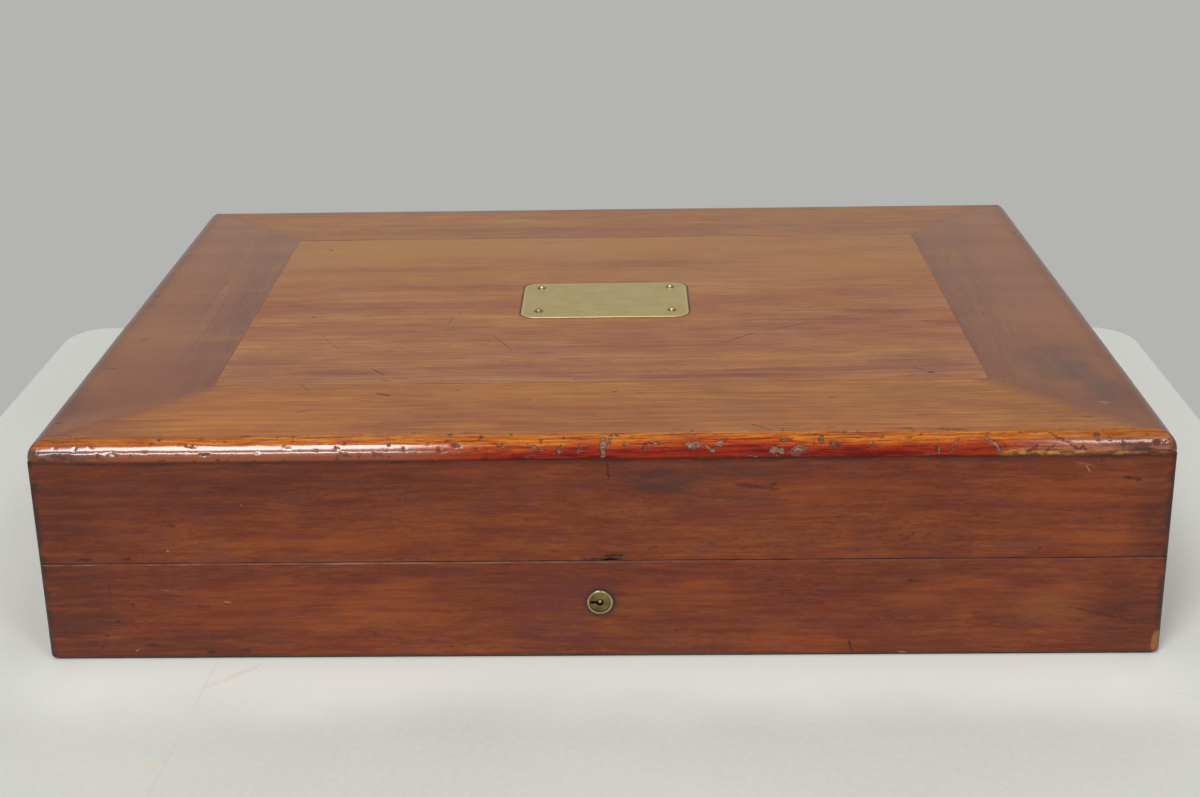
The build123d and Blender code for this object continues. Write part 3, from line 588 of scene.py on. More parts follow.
def side_rail_edge(colour, place, split, grain):
    """The end rails: mauve beside the panel, browner outside and to the front, with
    faint bands across them."""
    reach = abs(split[0])
    lazy = calc("MULTIPLY_ADD", cloud(place, (0.02, 0.012, 0.02), 3.0), 34.0, reach - 17.0)
    colour = tint(remap(lazy, 206.0, 228.0, 0.0, 0.75), colour, (0.270, 0.090, 0.026))
    far = remap(split[1], 20.0, 170.0, 0.0, 0.6)
    colour = tint(far, colour, (0.280, 0.098, 0.026))
    across = cloud(place, (0.006, 0.060, 0.0), 4.0, 0.62, seed=21.0)
    colour = tint(remap(across, 0.48, 0.66, 0.0, 0.32), colour, (0.165, 0.040, 0.022))
    colour = tint(remap(across, 0.46, 0.34, 0.0, 0.40), colour, (0.290, 0.110, 0.026))
    warm = (remap(split[1], -30.0, -160.0)
            * remap(cloud(place, 0.02, 3.0), 0.35, 0.6, 0.35, 0.95))
    colour = tint(warm, colour, (0.185, 0.046, 0.010))
    out = reach - grain["Bands"] * 5.0
    colour = tint(remap(out, 238.0, 250.0, 0.0, 0.7), colour, (0.105, 0.040, 0.024))
    return colour, remap(out, 236.0, 246.0, 0.85, 0.70)


def back_rail_edge(colour, place, split, grain):
    """The back rail: its mitres almost lost, and a moulding a little darker."""
    blend = off_mitre(split, grain) * 0.7
    colour = tint(blend, colour, (0.250, 0.085, 0.022))
    edge = remap(split[1], 181.0, 187.0, 0.0, 0.5)
    return tint(edge, colour, (0.130, 0.046, 0.016)), remap(split[1], 182.0, 186.0, 0.75, 0.25)


def plate_gap(split):
    """Millimetres outside the round-cornered name plate."""
    parts = []
    for axis, half, middle in ((0, PLATE_HALF_X, PLATE_X), (1, PLATE_HALF_Y, PLATE_Y)):
        past = abs(split[axis] - middle) - (half - PLATE_ROUND)
        parts.append(most(past, 0.0))
    away = node(split[0], "ShaderNodeCombineXYZ", {"X": parts[0], "Y": parts[1]})[0]
    return vector_calc("LENGTH", away) - PLATE_ROUND


def round_plate(colour, place, split, grain):
    """The panel: tan towards the back, and painted shade in the gap round the name plate."""
    tan = (remap(split[1], -20.0, 120.0, 0.0, 0.75)
           * remap(cloud(place, (0.005, 0.02), 3.0, seed=5.0), 0.3, 0.6, 0.4, 1.0))
    colour = tint(tan, colour, (0.390, 0.190, 0.056))
    gap = plate_gap(split)
    ragged = calc("MULTIPLY_ADD", grain["Streaks"], -1.6, gap + 0.8)
    # painted shade in the recess gap round the plate
    gap_shade = remap(ragged, 0.3, 1.5, 0.92, 0.0)
    return tint(gap_shade, colour, (0.045, 0.018, 0.012)), None


TOP_MARKS = flat_marks([
    (-56, -50.9, -43.8, -75.8, 0.5, 0.65), (-112, -97.9, -103.3, -109.9, 0.6, 0.75),
    (-78, -21.1, -79.8, -36.3, 0.5, 0.5), (-145, -48.3, -130.7, -72.6, 0.45, 0.45),
    (-105.3, -115.1, -99.3, -117.2, 0.7, 0.7), (-12.1, -117.2, -10.5, -116.2, 0.8, 0.7),
    (-163.2, 100, -160.7, 99.6, 1.1, 0.9), (-153.4, -21.8, -150.9, -22, 1.2, 0.6),
    (61.1, -67.7, 80.3, -51.1, 0.55, 0.8), (80.3, -51.1, 107.6, -38.7, 0.6, 0.75),
    (157.2, -111.8, 160.1, -111.2, 1.6, 0.9), (150.6, -103.7, 156.6, -110.2, 0.8, 0.6),
    (-185, 120.2, -146, 120.2, 0.5, 0.85), (-40.2, 108.9, -21.9, 110.4, 0.6, 0.5),
    (12.6, 71, 19.7, 68.9, 0.6, 0.5), (-88, -97, -70, -108, 0.4, 0.5)])
TOP_REDS = flat_spots([
    (-164, -88, 34, 9, 0.55), (-126, -104, 34, 7, 0.6), (-62, -98, 52, 6, 0.5),
    (-24, -108, 26, 6, 0.5), (20, -114, 52, 5, 0.5), (62, -112, 36, 6, 0.65),
    (106, -106, 40, 6, 0.65), (150, -92, 28, 8, 0.6), (94, -46, 26, 8, 0.4),
    (118, -34, 34, 7, 0.65), (146, -21, 22, 6, 0.5), (-70, 26, 110, 7, 0.35),
    (-120, 60, 80, 7, 0.35), (20, 67, 70, 9, 0.4), (10, -72, 90, 8, 0.3), (130, 30, 70, 9, 0.25)])
FRONT_RAIL_MARKS = flat_marks([
    (5.7, -133.1, 8.7, -133.6, 1, 0.9), (-34.1, -142.6, -31.6, -143, 1, 0.6),
    (-68.3, -129.1, -65.9, -129.6, 0.8, 0.6), (-105.3, -132, -97.2, -136.1, 1.1, 0.85),
    (-142.7, -120.2, -136.6, -129.1, 0.6, 0.6), (105.9, -142.8, 110.3, -143.3, 1, 0.7),
    (66.6, -172.7, 78.4, -182.2, 0.6, 0.7), (101.7, -178.1, 105.2, -179.1, 0.9, 0.6),
    (132.5, -179.6, 140.5, -180.4, 0.9, 0.75), (148, -181.6, 163, -182.1, 1.0, 0.9),
    (-138.8, -156.2, -131.8, -151.4, 0.8, 0.5), (214.5, -168, 222, -169.5, 0.7, 0.6),
    (-229.4, -160.5, -223.3, -159.5, 0.8, 0.5), (-218.7, -141.9, -171.1, -140.6, 0.4, 0.5),
    (-118, -139, -104, -143, 0.6, 0.6),
    (-92, -158, -84, -156.5, 0.6, 0.5), (178, -150, 190, -153.5, 0.5, 0.5),
    (-60, -181, -57, -181.4, 0.7, 0.7), (33, -179.6, 38, -180.3, 0.7, 0.6),
    (118, -163, 127, -166.4, 0.5, 0.5), (-8, -160, 2, -164.5, 0.4, 0.45)])
FRONT_RAIL_SHADES = flat_spots([
    (64, -142, 40, 22, 0.28), (150, -136, 44, 18, 0.32), (205, -160, 30, 24, 0.30),
    (-215, -165, 26, 22, 0.25)])
FRONT_RAIL_LIGHTS = flat_spots([(-165, -158, 80, 28, 0.40)])
PANEL_SHADOWS = flat_spots([(160, -98, 30, 22, 0.40), (-176, -104, 22, 22, 0.20)])
PANEL_LIGHTS = flat_spots([
    (-140, 84, 60, 40, 0.22), (-110, 10, 80, 16, 0.22), (64, 20, 60, 18, 0.25),
    (130, 60, 60, 20, 0.18), (90, -88, 60, 8, 0.25), (-150, -60, 50, 12, 0.15)])
SIDE_RAIL_SPOTS = flat_spots([
    (228, -84, 17, 17, 0.60), (225, -106, 18, 26, 0.75), (237, -136, 16, 30, 0.55),
    (208, -98, 22, 16, 0.42), (-242, -150, 14, 22, 0.35)])
SIDE_RAIL_MARKS = flat_marks([
    (245.1, 122.5, 246.3, 120.9, 1.1, 0.9), (242, -90.5, 243.2, -92.1, 1.1, 0.9),
    (-247, 54, -243.5, 56, 1.0, 0.8), (-247, 16, -243, 18, 1.1, 0.85),
    (-246.5, 1, -242.5, 2, 0.9, 0.6), (-237, -54, -231, -53.2, 0.9, 0.75),
    (-242.5, -96.5, -237, -95.6, 0.9, 0.8), (-250, -123.5, -246, -122, 1.1, 0.85),
    (-247, -166.5, -243, -165, 1.2, 0.9), (-244, -150, -240.5, -149, 0.9, 0.7),
    (-246, 92, -243, 93, 0.8, 0.6), (-190.5, 48.5, -189.1, 27.6, 0.5, 0.5),
    (-228.4, 69.6, -217.2, 72.7, 0.4, 0.4)])
SIDE_RAIL_PALE = flat_marks([
    (227, -150.5, 234, -152.5, 1.0, 0.45), (229, -153.5, 232, -154, 0.8, 0.3)])
FRONT_LID_MARKS = front_marks([
    (3.9, 98, 4.9, 88.4, 0.7, 0.95), (76.2, 86, 78.9, 86.3, 1.2, 0.8),
    (229.4, 88.4, 238.9, 86.4, 1.1, 0.85), (-235, 51, -229.2, 51.2, 1.2, 0.95),
    (-215.9, 51.3, -211.1, 51.5, 1.0, 0.9), (-92.8, 50.4, -87.5, 50.7, 0.7, 0.7),
    (195.9, 53.7, 197.1, 53.6, 0.9, 0.9), (-8, 49.9, 12, 50.0, 0.9, 0.95),
    (0.9, 51.3, 11.1, 51.6, 1.5, 0.95), (21.5, 54.0, 26.5, 56.4, 0.8, 0.6),
    (47.5, 55.8, 51.5, 57.4, 0.6, 0.5), (19, 90.5, 33, 92, 3.4, 0.28),
    (17, 84.8, 36, 83.6, 3.2, 0.32), (30, 88, 46, 89.5, 2.8, 0.28),
    (60, 86.2, 80, 83.4, 1.6, 0.6), (44, 80.2, 84, 78.2, 1.5, 0.4),
    (136, 58.4, 141, 62.2, 1.6, 0.45), (-193, 68.5, -190, 67.5, 1.4, 0.6)])
FRONT_LID_SPOTS = front_spots([(32, 88, 26, 8, 0.60), (52, 93, 52, 5, 0.35)])
FRONT_LID_REDS = front_spots([(56, 75, 30, 12, 0.5)])
FRONT_LID_SHADES = front_spots([
    (-240, 78, 24, 40, 0.5), (-150, 88, 110, 13, 0.40), (246, 60, 14, 40, 0.6)])
FRONT_LID_LIGHTS = front_spots([
    (214, 84, 44, 12, 0.45), (218, 58, 34, 10, 0.45), (110, 82, 50, 8, 0.40),
    (-110, 60, 70, 7, 0.35)])
FRONT_BASE_SHADES = front_spots([
    (-238, 24, 26, 34, 0.6), (-185, 7, 60, 10, 0.55), (-22, 8, 26, 12, 0.45),
    (30, 5, 40, 8, 0.35), (240, 14, 24, 24, 0.45), (150, 5, 40, 7, 0.3)])
FRONT_BASE_LIGHTS = front_spots([
    (-95, 30, 44, 14, 0.55), (-142, 33, 60, 9, 0.35), (-60, 34, 40, 8, 0.35),
    (34, 33, 34, 9, 0.45), (166, 33, 44, 11, 0.50), (202, 30, 34, 12, 0.50), (86, 8, 40, 7, 0.4)])
FRONT_LID_PALE = front_marks([
    (213.8, 94.3, 215.8, 90.4, 0.5, 0.6), (-194.7, 55.3, -193.7, 55.3, 0.7, 0.8),
    (209, 95.5, 218, 93.6, 0.3, 0.4), (-160, 77.8, -159, 77.6, 0.5, 0.6)])
FRONT_BASE_MARKS = front_marks([
    (-213.6, 28.7, -212.2, 28.5, 1.1, 0.9), (-221.2, 19.9, -219.8, 19.8, 1.2, 0.95),
    (-227, 12.7, -224.8, 12.8, 1.1, 0.7), (-229.8, 6.6, -228, 6.4, 1.1, 0.8),
    (-209, 7.5, -203, 7.4, 0.9, 0.7), (-183, 27.4, -177, 27.1, 0.8, 0.7),
    (-188, 8.9, -185, 8.9, 0.7, 0.5), (-180.5, 3.6, -176.5, 3.8, 1.3, 0.8),
    (-222.8, 39, -222.4, 31, 1.0, 0.35), (-139, 15.8, -134, 15.4, 0.7, 0.5),
    (-165, 4.6, -160, 4.8, 1.0, 0.7), (112.7, 8.5, 114.5, 1.9, 0.8, 0.8),
    (137.5, 38.7, 144.7, 37.6, 0.9, 0.75), (34, 13.9, 34.9, 13.7, 0.8, 0.9),
    (209.9, 24.7, 251, 14.7, 0.9, 0.55)])
FRONT_BASE_REDS = front_spots([
    (-24, 22, 20, 20, 0.7), (-10, 36, 30, 8, 0.5), (-14, 12, 26, 8, 0.6)], 40)
FRONT_BASE_PALE = front_marks([
    (135, 2, 139, 1.9, 0.8, 0.7), (-171, 29.5, -167.6, 29.2, 0.5, 0.6),
    (-199, 35.7, -195, 35.5, 0.4, 0.5), (-214, 4.8, -212, 5.2, 0.7, 0.5)])


def base_front_edges(colour, place, split, grain):
    """The base front: its dark corners and painted shade at the rims, a thin pale line painted
    as the highlight on the arris, the rubbed dark ring round the lock, and a corner rubbed
    through to the wood."""
    colour, shine = wall_edges(colour, place, split, grain)
    broken = cloud(place, (0.06, 0.15), 4.0, 0.7)
    # painted highlight: a broken pale line along the arris, stronger to the left
    length = remap(split[0], -20.0, 50.0, 0.7, 0.18)
    arris = (near_line(split[2], SPLIT_Z - 0.62, 0.42)
             * (remap(broken, 0.42, 0.66, 0.15, 1.0) * length))
    colour = tint(arris, colour, (0.36, 0.20, 0.14))
    away = vector_calc("DISTANCE", place, (0.0, WALL_FRONT, LOCK_Z))
    halo = remap(calc("MULTIPLY_ADD", broken, 3.0, away), 7.4, 10.4, 0.85, 0.0)
    colour = tint(halo, colour, (0.040, 0.016, 0.016))
    bare = use(STAIN_AND_SHADE, Place=place, Centre=(251.8, WALL_FRONT, 6.0), Reach=(3.2, 8.0, 7.0))["Mask"]
    bare = remap(bare, 0.15, 0.6) * remap(broken, 0.36, 0.56, 0.35, 0.9)
    colour = tint(bare, colour, (0.30, 0.125, 0.038))
    yellow = use(STAIN_AND_SHADE, Place=place, Centre=(201.0, WALL_FRONT, 24.0),
                 Reach=(22.0, 8.0, 9.0))["Mask"]
    colour = tint(yellow * 0.35, colour, (0.25, 0.085, 0.02))
    return colour, shine


def plain_wood(name, seed, shades, turn=0.0):
    """Unpolished secondary wood: the bottom board and the tongues."""
    material, shader, place = start_material(name)
    along = turned(place, turn)
    grain = use(GRAIN, Place=along, Seed=seed)
    colour = tint(remap(grain["Bands"], 0.35, 0.65), shades[0], shades[1])
    colour = tint(grain["Fibres"] * 0.35, colour, tuple(value * 0.6 for value in shades[0]))
    colour = tint(grain["Pores"] * 0.5, colour, tuple(value * 0.35 for value in shades[0]))
    surface(shader, colour, remap(grain["Fibres"], 0.2, 0.8, 0.62, 0.8))
    bump(shader, grain["Height"], 0.6, 0.00012)
    return material


def brass(name, bright, dull, tarnish, rough, seed, pin_rings=False):
    """Brass that has been handled and polished for years; tarnish is from 0 to 1."""
    material, shader, place = start_material(name, Metallic=1.0)
    old = use(PATINA, Place=place, Seed=seed)
    cover = remap(old["Tarnish"], 0.30, 0.72) * tarnish
    colour = tint(cover, bright, dull)
    colour = tint(remap(old["Lines"], 0.35, 0.7, 0.0, 0.18), colour, dull)
    colour = tint(old["Pits"] * (0.5 * tarnish), colour, tuple(value * 0.3 for value in dull))
    if pin_rings:
        split = parts_of(place)
        away = [abs(split[axis] - middle) - reach for axis, middle, reach
                in ((0, PIN_X, PIN_REACH_X), (1, PIN_Y, PIN_REACH_Y))]
        flat = node(place, "ShaderNodeCombineXYZ", {"X": away[0], "Y": away[1]})[0]
        # painted shade round the domed pin heads
        ring = remap(vector_calc("LENGTH", flat), 1.9, 3.1, 0.85, 0.0)
        colour = tint(ring, colour, (0.10, 0.065, 0.030))
        # painted highlight along the plate's bevelled edge
        edge = remap(plate_gap(split), -1.8, -0.6, 0.0, 0.6)
        colour = tint(edge, colour, (0.93, 0.72, 0.31))
    surface(shader, colour, remap(old["Lines"], 0.3, 0.7, rough - 0.05, rough + 0.07)
            + remap(old["Tarnish"], 0.4, 0.8, 0.0, 0.16))
    relief = old["Lines"] * 0.5 - old["Pits"]
    bump(shader, relief, 0.35, 0.00003)
    return material


def steel(name):
    """Dull steel of the screws, the hinge pins and the bolt's spring."""
    material, shader, place = start_material(name, Metallic=1.0)
    old = use(PATINA, Place=place, Seed=5.0)
    colour = tint(remap(old["Tarnish"], 0.5, 0.7), (0.40, 0.39, 0.37), (0.16, 0.11, 0.075))
    surface(shader, colour, remap(old["Tarnish"], 0.3, 0.7, 0.32, 0.55))
    bump(shader, old["Lines"], 0.3, 0.00003)
    return material


def baize(name, seed):
    """Green baize, felted, with a short nap."""
    material, shader, place = start_material(
        name, Sheen_Weight=0.35, Sheen_Roughness=0.5, Sheen_Tint=(0.35, 0.6, 0.4, 1.0))
    nap = use(NAP, Place=place, Seed=seed)
    colour = tint(remap(nap["Shade"], 0.3, 0.7), (0.010, 0.052, 0.022), (0.018, 0.082, 0.034))
    colour = tint(remap(nap["Fuzz"], 0.42, 0.72, 0.0, 0.55), colour, (0.038, 0.135, 0.062))
    surface(shader, colour, remap(nap["Fuzz"], 0.2, 0.8, 0.86, 0.98))
    bump(shader, nap["Height"], 0.7, 0.0003)
    return material


THREAD_PITCH = 0.9  # mm


def lining_cloth(name):
    """Thin green cotton cloth pasted to the walls and over the lid's pad."""
    material, shader, place = start_material(name, Sheen_Weight=0.2, Sheen_Roughness=0.45)
    split = parts_of(place)
    threads = [calc("SINE", axis * (2 * pi / THREAD_PITCH)) for axis in split[:3]]
    weave = (threads[0] + threads[2]) * threads[1]
    nap = use(NAP, Place=place, Seed=3.0)
    colour = tint(remap(nap["Shade"], 0.3, 0.7), (0.016, 0.060, 0.028), (0.026, 0.092, 0.042))
    colour = tint(remap(weave, -0.8, 0.9, 0.0, 0.5), colour, (0.045, 0.135, 0.066))
    surface(shader, colour, remap(weave, -1.0, 1.0, 0.78, 0.9))
    height = calc("MULTIPLY_ADD", nap["Fuzz"], 0.5, weave)
    bump(shader, height, 0.4, 0.00012)
    return material


# ------------------------------------------------------------------ shapes
def new_object(shape, name, material, smooth_angle):
    """Makes a smoothly shaded object of a bmesh."""
    bmesh.ops.recalc_face_normals(shape, faces=shape.faces)
    mesh = bpy.data.meshes.new(name)
    shape.to_mesh(mesh)
    shape.free()
    mesh.polygons.foreach_set("use_smooth", [True] * len(mesh.polygons))
    mesh.set_sharp_from_angle(angle=radians(smooth_angle))
    mesh.materials.append(material)
    made = bpy.data.objects.new(name, mesh)
    bpy.context.scene.collection.objects.link(made)
    return made


def round_over(shape, edges, reach, segments, clamp=False):
    """Rounds edges of a bmesh over; the reach is in metres."""
    bmesh.ops.bevel(shape, geom=edges, offset=reach, offset_type="OFFSET", affect="EDGES",
                    segments=segments, profile=0.5, material=-1, clamp_overlap=clamp)


def finish_shape(shape, name, material, body, replaced, smooth_angle=35.0):
    """Makes an object of a bmesh and puts it on its body, in its CAD nodes' place."""
    bmesh.ops.remove_doubles(shape, verts=shape.verts, dist=1e-6)
    piece = new_object(shape, name, material, smooth_angle)
    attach(piece, body)
    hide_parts(*replaced)
    return piece


RAIL_STEP = 0.5
ROUND_STEPS = 20
ARRIS = 0.12
SPARE = 2.0  # each end is made this much too long and cut to its mitre
FLAT_WORN = 2.0  # wear fades out this far onto the flat
DENT_REACH = 16


def arc_place(vert, out):
    """How far round the moulding a point lies, in mm from the flat, and the way in."""
    deep, high = vert.co.y + (out - EDGE_ROUND), vert.co.z - (TOP_Z - EDGE_ROUND)
    if deep >= 0:
        return -deep, Vector((0.0, 0.0, -1.0))
    turn = atan2(-deep, high)
    return turn * EDGE_ROUND, Vector((0.0, sin(turn), -cos(turn)))


def knock(vert, out, dents, seed):
    """Moves a point of the moulding in, for its dents and for a slightly worn line, and
    returns how bare the wood is there."""
    place, inwards = arc_place(vert, out)
    if place < -FLAT_WORN or vert.co.z < TOP_UNDERSIDE + 0.4:
        return 0.0
    fade = min(1.0, (place + FLAT_WORN) / FLAT_WORN)
    spot = Vector((vert.co.x * 0.04, place * 0.12, seed))
    depth = 0.10 * max(0.0, noise.noise(spot) + 0.1)
    spot = Vector((vert.co.x * 0.30, place * 0.5, seed + 7.0))
    pit = max(0.0, noise.noise(spot) - 0.30)
    depth += 0.30 * pit
    bare = min(0.30, pit * 0.9)
    shake = noise.noise_vector(Vector((vert.co.x * 0.45, place * 0.45, seed + 3.0))) * 1.1
    for x, s, half_long, half_round, turn, deep, rawness in dents:
        ahead, across = vert.co.x - x, place - s
        if max(abs(ahead), abs(across)) > DENT_REACH:
            continue
        ahead, across = ahead + shake.x, across + shake.y
        u = (ahead * cos(turn) + across * sin(turn)) / half_long
        v = (across * cos(turn) - ahead * sin(turn)) / half_round
        ragged = 0.45 * noise.noise(Vector((vert.co.x * 1.2, place * 1.2, 3.0)))
        gap = u * u + v * v + ragged
        if gap < 1.0:
            depth += deep * (1.0 - max(0.0, gap)) ** 0.6
            bare = max(bare, rawness * min(1.0, (1.0 - gap) * 2.5))
    vert.co += inwards * depth * fade
    return bare


def top_rail(side, half, out, turn, material, dents, seed):
    """One mitred rail of the top, made as the front one and turned into place."""
    shape = bmesh.new()
    start = -half - SPARE
    arc_centre = Vector((start, EDGE_ROUND - out, TOP_Z - EDGE_ROUND))
    crown = shape.verts.new(arc_centre + Vector((0, 0, EDGE_ROUND)))
    bmesh.ops.spin(shape, geom=[crown], cent=arc_centre, axis=(1, 0, 0),
                   angle=radians(90), steps=ROUND_STEPS)
    shape.verts.ensure_lookup_table()
    last = min(shape.verts, key=lambda vert: vert.co.z)
    for step in ((0, 0, TOP_UNDERSIDE - (TOP_Z - EDGE_ROUND)), (0, RAIL_WIDTH, 0),
                 (0, 0, TOP_Z - TOP_UNDERSIDE - ARRIS), (0, -ARRIS, ARRIS),
                 (0, ARRIS - RAIL_WIDTH + EDGE_ROUND + 3.0, 0), (0, -1.5, 0)):
        last = bmesh.ops.extrude_vert_indiv(shape, verts=[last])["verts"][0]
        last.co += Vector(step)
    shape.edges.new((last, crown))
    length = 2.0 * (half + SPARE)
    swept = bmesh.ops.extrude_edge_only(shape, edges=shape.edges[:])["geom"]
    ends = [item for item in swept if isinstance(item, bmesh.types.BMVert)]
    bmesh.ops.translate(shape, verts=ends, vec=(length, 0, 0))
    long_edges = [edge for edge in shape.edges
                  if abs(edge.verts[0].co.x - edge.verts[1].co.x) > 1.0]
    bmesh.ops.subdivide_edges(shape, edges=long_edges, cuts=round(length / RAIL_STEP),
                              use_grid_fill=True)
    for end in (-1, 1):
        cut = bmesh.ops.bisect_plane(
            shape, geom=shape.verts[:] + shape.edges[:] + shape.faces[:], dist=1e-5,
            plane_co=(end * half, -out, 0), plane_no=(end, 1, 0), clear_outer=True)
        rim = [item for item in cut["geom_cut"] if isinstance(item, bmesh.types.BMEdge)]
        bmesh.ops.contextual_create(shape, geom=rim)
    for vert in shape.verts:
        end = 1 if vert.co.x > 0 else -1
        u, v = half - abs(vert.co.x), vert.co.y + out
        if u < CORNER_ROUND and v < CORNER_ROUND - 1e-4:
            reach = CORNER_ROUND - v
            swing = radians(45) * (CORNER_ROUND - u) / reach
            vert.co.x = end * (half - CORNER_ROUND + reach * sin(swing))
            vert.co.y = CORNER_ROUND - reach * cos(swing) - out
    chip = shape.verts.layers.float.new("chip")
    for vert in shape.verts:
        vert[chip] = knock(vert, out, dents, seed)
    bmesh.ops.scale(shape, vec=(MM, MM, MM), verts=shape.verts)
    bmesh.ops.rotate(shape, cent=(0, 0, 0), matrix=Matrix.Rotation(radians(turn), 3, "Z"),
                     verts=shape.verts)
    finish_shape(shape, side + "_rail", material, "lid", [f"top_{side}_rail"])


def round_places(dents):
    """Dents with their angle from the flat, in degrees, as millimetres round the moulding.
    Each is X, angle, half length, half width, turn, depth, and how bare the wood is."""
    return [(x, radians(angle) * EDGE_ROUND, *rest) for x, angle, *rest in dents]


FRONT_DENTS = round_places([
    (2.4, 60, 1.7, 5.6, 0.05, 0.75, 1.0), (5.6, 32, 0.9, 2.6, 0.1, 0.35, 1.0),
    (20.9, 59, 1.2, 2.2, 0.2, 0.2, 0.6), (25.3, 47, 2.4, 0.9, 0.35, 0.25, 0.9),
    (42, 51, 3.6, 2.0, 0.0, 0.35, 0.95), (49.3, 64, 2.6, 1.0, 0.86, 0.35, 0.9),
    (53.8, 50, 3.8, 0.9, -0.57, 0.35, 0.9), (79, 72, 4.0, 1.7, 0.1, 0.45, 0.95),
    (88.5, 66, 4.4, 1.6, -0.1, 0.45, 1.0), (69, 93, 5.0, 0.7, 0.0, 0.3, 0.95),
    (78, 95, 5.0, 0.6, 0.0, 0.25, 0.95), (82.3, 41, 2.4, 1.2, 0.1, 0.2, 0.5),
    (98.5, 39, 1.5, 2.4, 0.1, 0.3, 0.6), (104, 58, 3.0, 1.4, 0.2, 0.2, 0.5),
    (-8, 66, 0.8, 2.0, 0.3, 0.2, 0.6), (-17, 66, 1.0, 2.6, 0.3, 0.25, 0.7),
    (-27, 60, 5.0, 0.8, 0.35, 0.3, 0.7), (12, 50, 1.2, 1.0, 0.0, 0.2, 0.5),
    (-44, 48, 3.0, 0.7, 0.3, 0.22, 0.5), (30, 68, 0.6, 1.8, 0.0, 0.15, 0.6),
    (149.3, 72, 0.7, 2.6, -0.2, 0.2, 0.9), (155.2, 76, 0.6, 2.0, 0.3, 0.2, 0.8),
    (157.4, 52, 0.7, 2.2, 0.3, 0.2, 0.7), (170.5, 44, 0.9, 1.1, 0.0, 0.2, 1.0),
    (174.4, 66, 3.8, 0.8, 0.85, 0.3, 1.0), (190, 74, 3.6, 0.5, -0.5, 0.15, 0.5),
    (198, 70, 3.0, 0.5, -0.7, 0.15, 0.6), (204, 49, 10.0, 0.6, 0.55, 0.3, 0.35),
    (212, 74, 2.5, 0.6, 0.4, 0.15, 0.5), (218.5, 29, 1.8, 1.4, 0.2, 0.25, 0.35),
    (223.7, 46, 0.7, 1.4, 0.2, 0.2, 1.0), (229, 62, 0.5, 2.0, 0.1, 0.15, 0.6),
    (236, 74, 2.2, 0.5, 0.2, 0.2, 0.5), (244.3, 58, 2.4, 1.4, 0.2, 0.6, 0.35),
    (248.5, 52, 1.2, 0.7, -0.3, 0.2, 1.0), (137, 34, 1.6, 0.8, 0.0, 0.2, 0.4),
    (120, 60, 0.6, 1.8, 0.3, 0.15, 0.6), (-62, 50, 3.2, 1.0, 0.3, 0.3, 0.45),
    (-69, 64, 2.2, 0.7, 0.2, 0.25, 0.4), (-92, 47, 0.9, 0.9, 0.0, 0.25, 0.4),
    (-97, 76, 2.6, 0.6, 0.3, 0.22, 0.35), (-111, 78, 3.2, 0.7, 0.3, 0.3, 0.35),
    (-114.8, 54, 1.6, 0.7, 0.5, 0.28, 0.35), (-136.5, 52, 2.4, 0.8, 0.5, 0.3, 0.4),
    (-150, 70, 1.6, 0.6, 0.2, 0.2, 0.3), (-173.3, 72, 2.6, 0.8, 0.1, 0.3, 0.35),
    (-180.1, 44, 3.2, 0.7, 0.3, 0.25, 0.35), (-194.8, 22, 0.7, 1.1, 0.0, 0.25, 0.35),
    (-215, 70, 3.5, 0.8, 0.1, 0.15, 0.25), (-238, 76, 6.0, 1.2, 0.05, 0.2, 0.25)])
END_DENTS = round_places([
    (-120, 50, 2.2, 1.3, 0.2, 0.3, 0.4), (-40, 62, 1.5, 1.5, 0.4, 0.25, 0.4),
    (33, 40, 2.6, 1.1, 0.1, 0.25, 0.4), (96, 58, 1.8, 1.2, 0.6, 0.3, 0.4),
    (150, 46, 2.2, 1.6, 0.0, 0.3, 0.4)])


def softened(name, node_name, material, body, width):
    """A cloth-covered copy of a CAD piece, with its long corners rounded over."""
    shape = bmesh.new()
    shape.from_mesh(NODES[node_name].data)
    bmesh.ops.remove_doubles(shape, verts=shape.verts, dist=1e-5)
    bmesh.ops.dissolve_limit(shape, angle_limit=radians(2.0), verts=shape.verts,
                             edges=shape.edges, delimit=set())
    sharp = [edge for edge in shape.edges
             if len(edge.link_faces) == 2 and edge.calc_face_angle() > radians(40)]
    round_over(shape, sharp, width * MM, 3, clamp=True)
    return finish_shape(shape, name, material, body, [node_name], 50.0)


def lid_pad(material):
    """The lid's padded panel: crowned between its pasted edges, flat under the racks."""
    low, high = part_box("lid_lining_pad")
    shape = bmesh.new()
    bmesh.ops.create_grid(shape, x_segments=97, y_segments=71, size=0.5)
    bmesh.ops.scale(shape, verts=shape.verts, vec=(high.x - low.x, high.y - low.y, 1.0))
    bmesh.ops.translate(shape, verts=shape.verts, vec=(0, (high.y + low.y) / 2, high.z))
    thick = high.z - low.z
    bmesh.ops.solidify(shape, geom=shape.faces[:], thickness=thick * 0.3)
    for vert in shape.verts:
        if vert.co.z > high.z - 1e-6:
            continue
        gap = min(vert.co.x - low.x, high.x - vert.co.x, vert.co.y - low.y,
                  high.y - vert.co.y)
        rise = 1.0 - exp(-gap / 0.012)
        ripple = noise.noise(Vector((vert.co.x * 14, vert.co.y * 14, 0.3))) * 0.0003
        vert.co.z = high.z - thick * (0.66 + 0.30 * rise) + ripple * rise
    piece = finish_shape(shape, "lid_pad", material, "lid",
                         ["lid_lining_pad"], 60.0)
    return piece


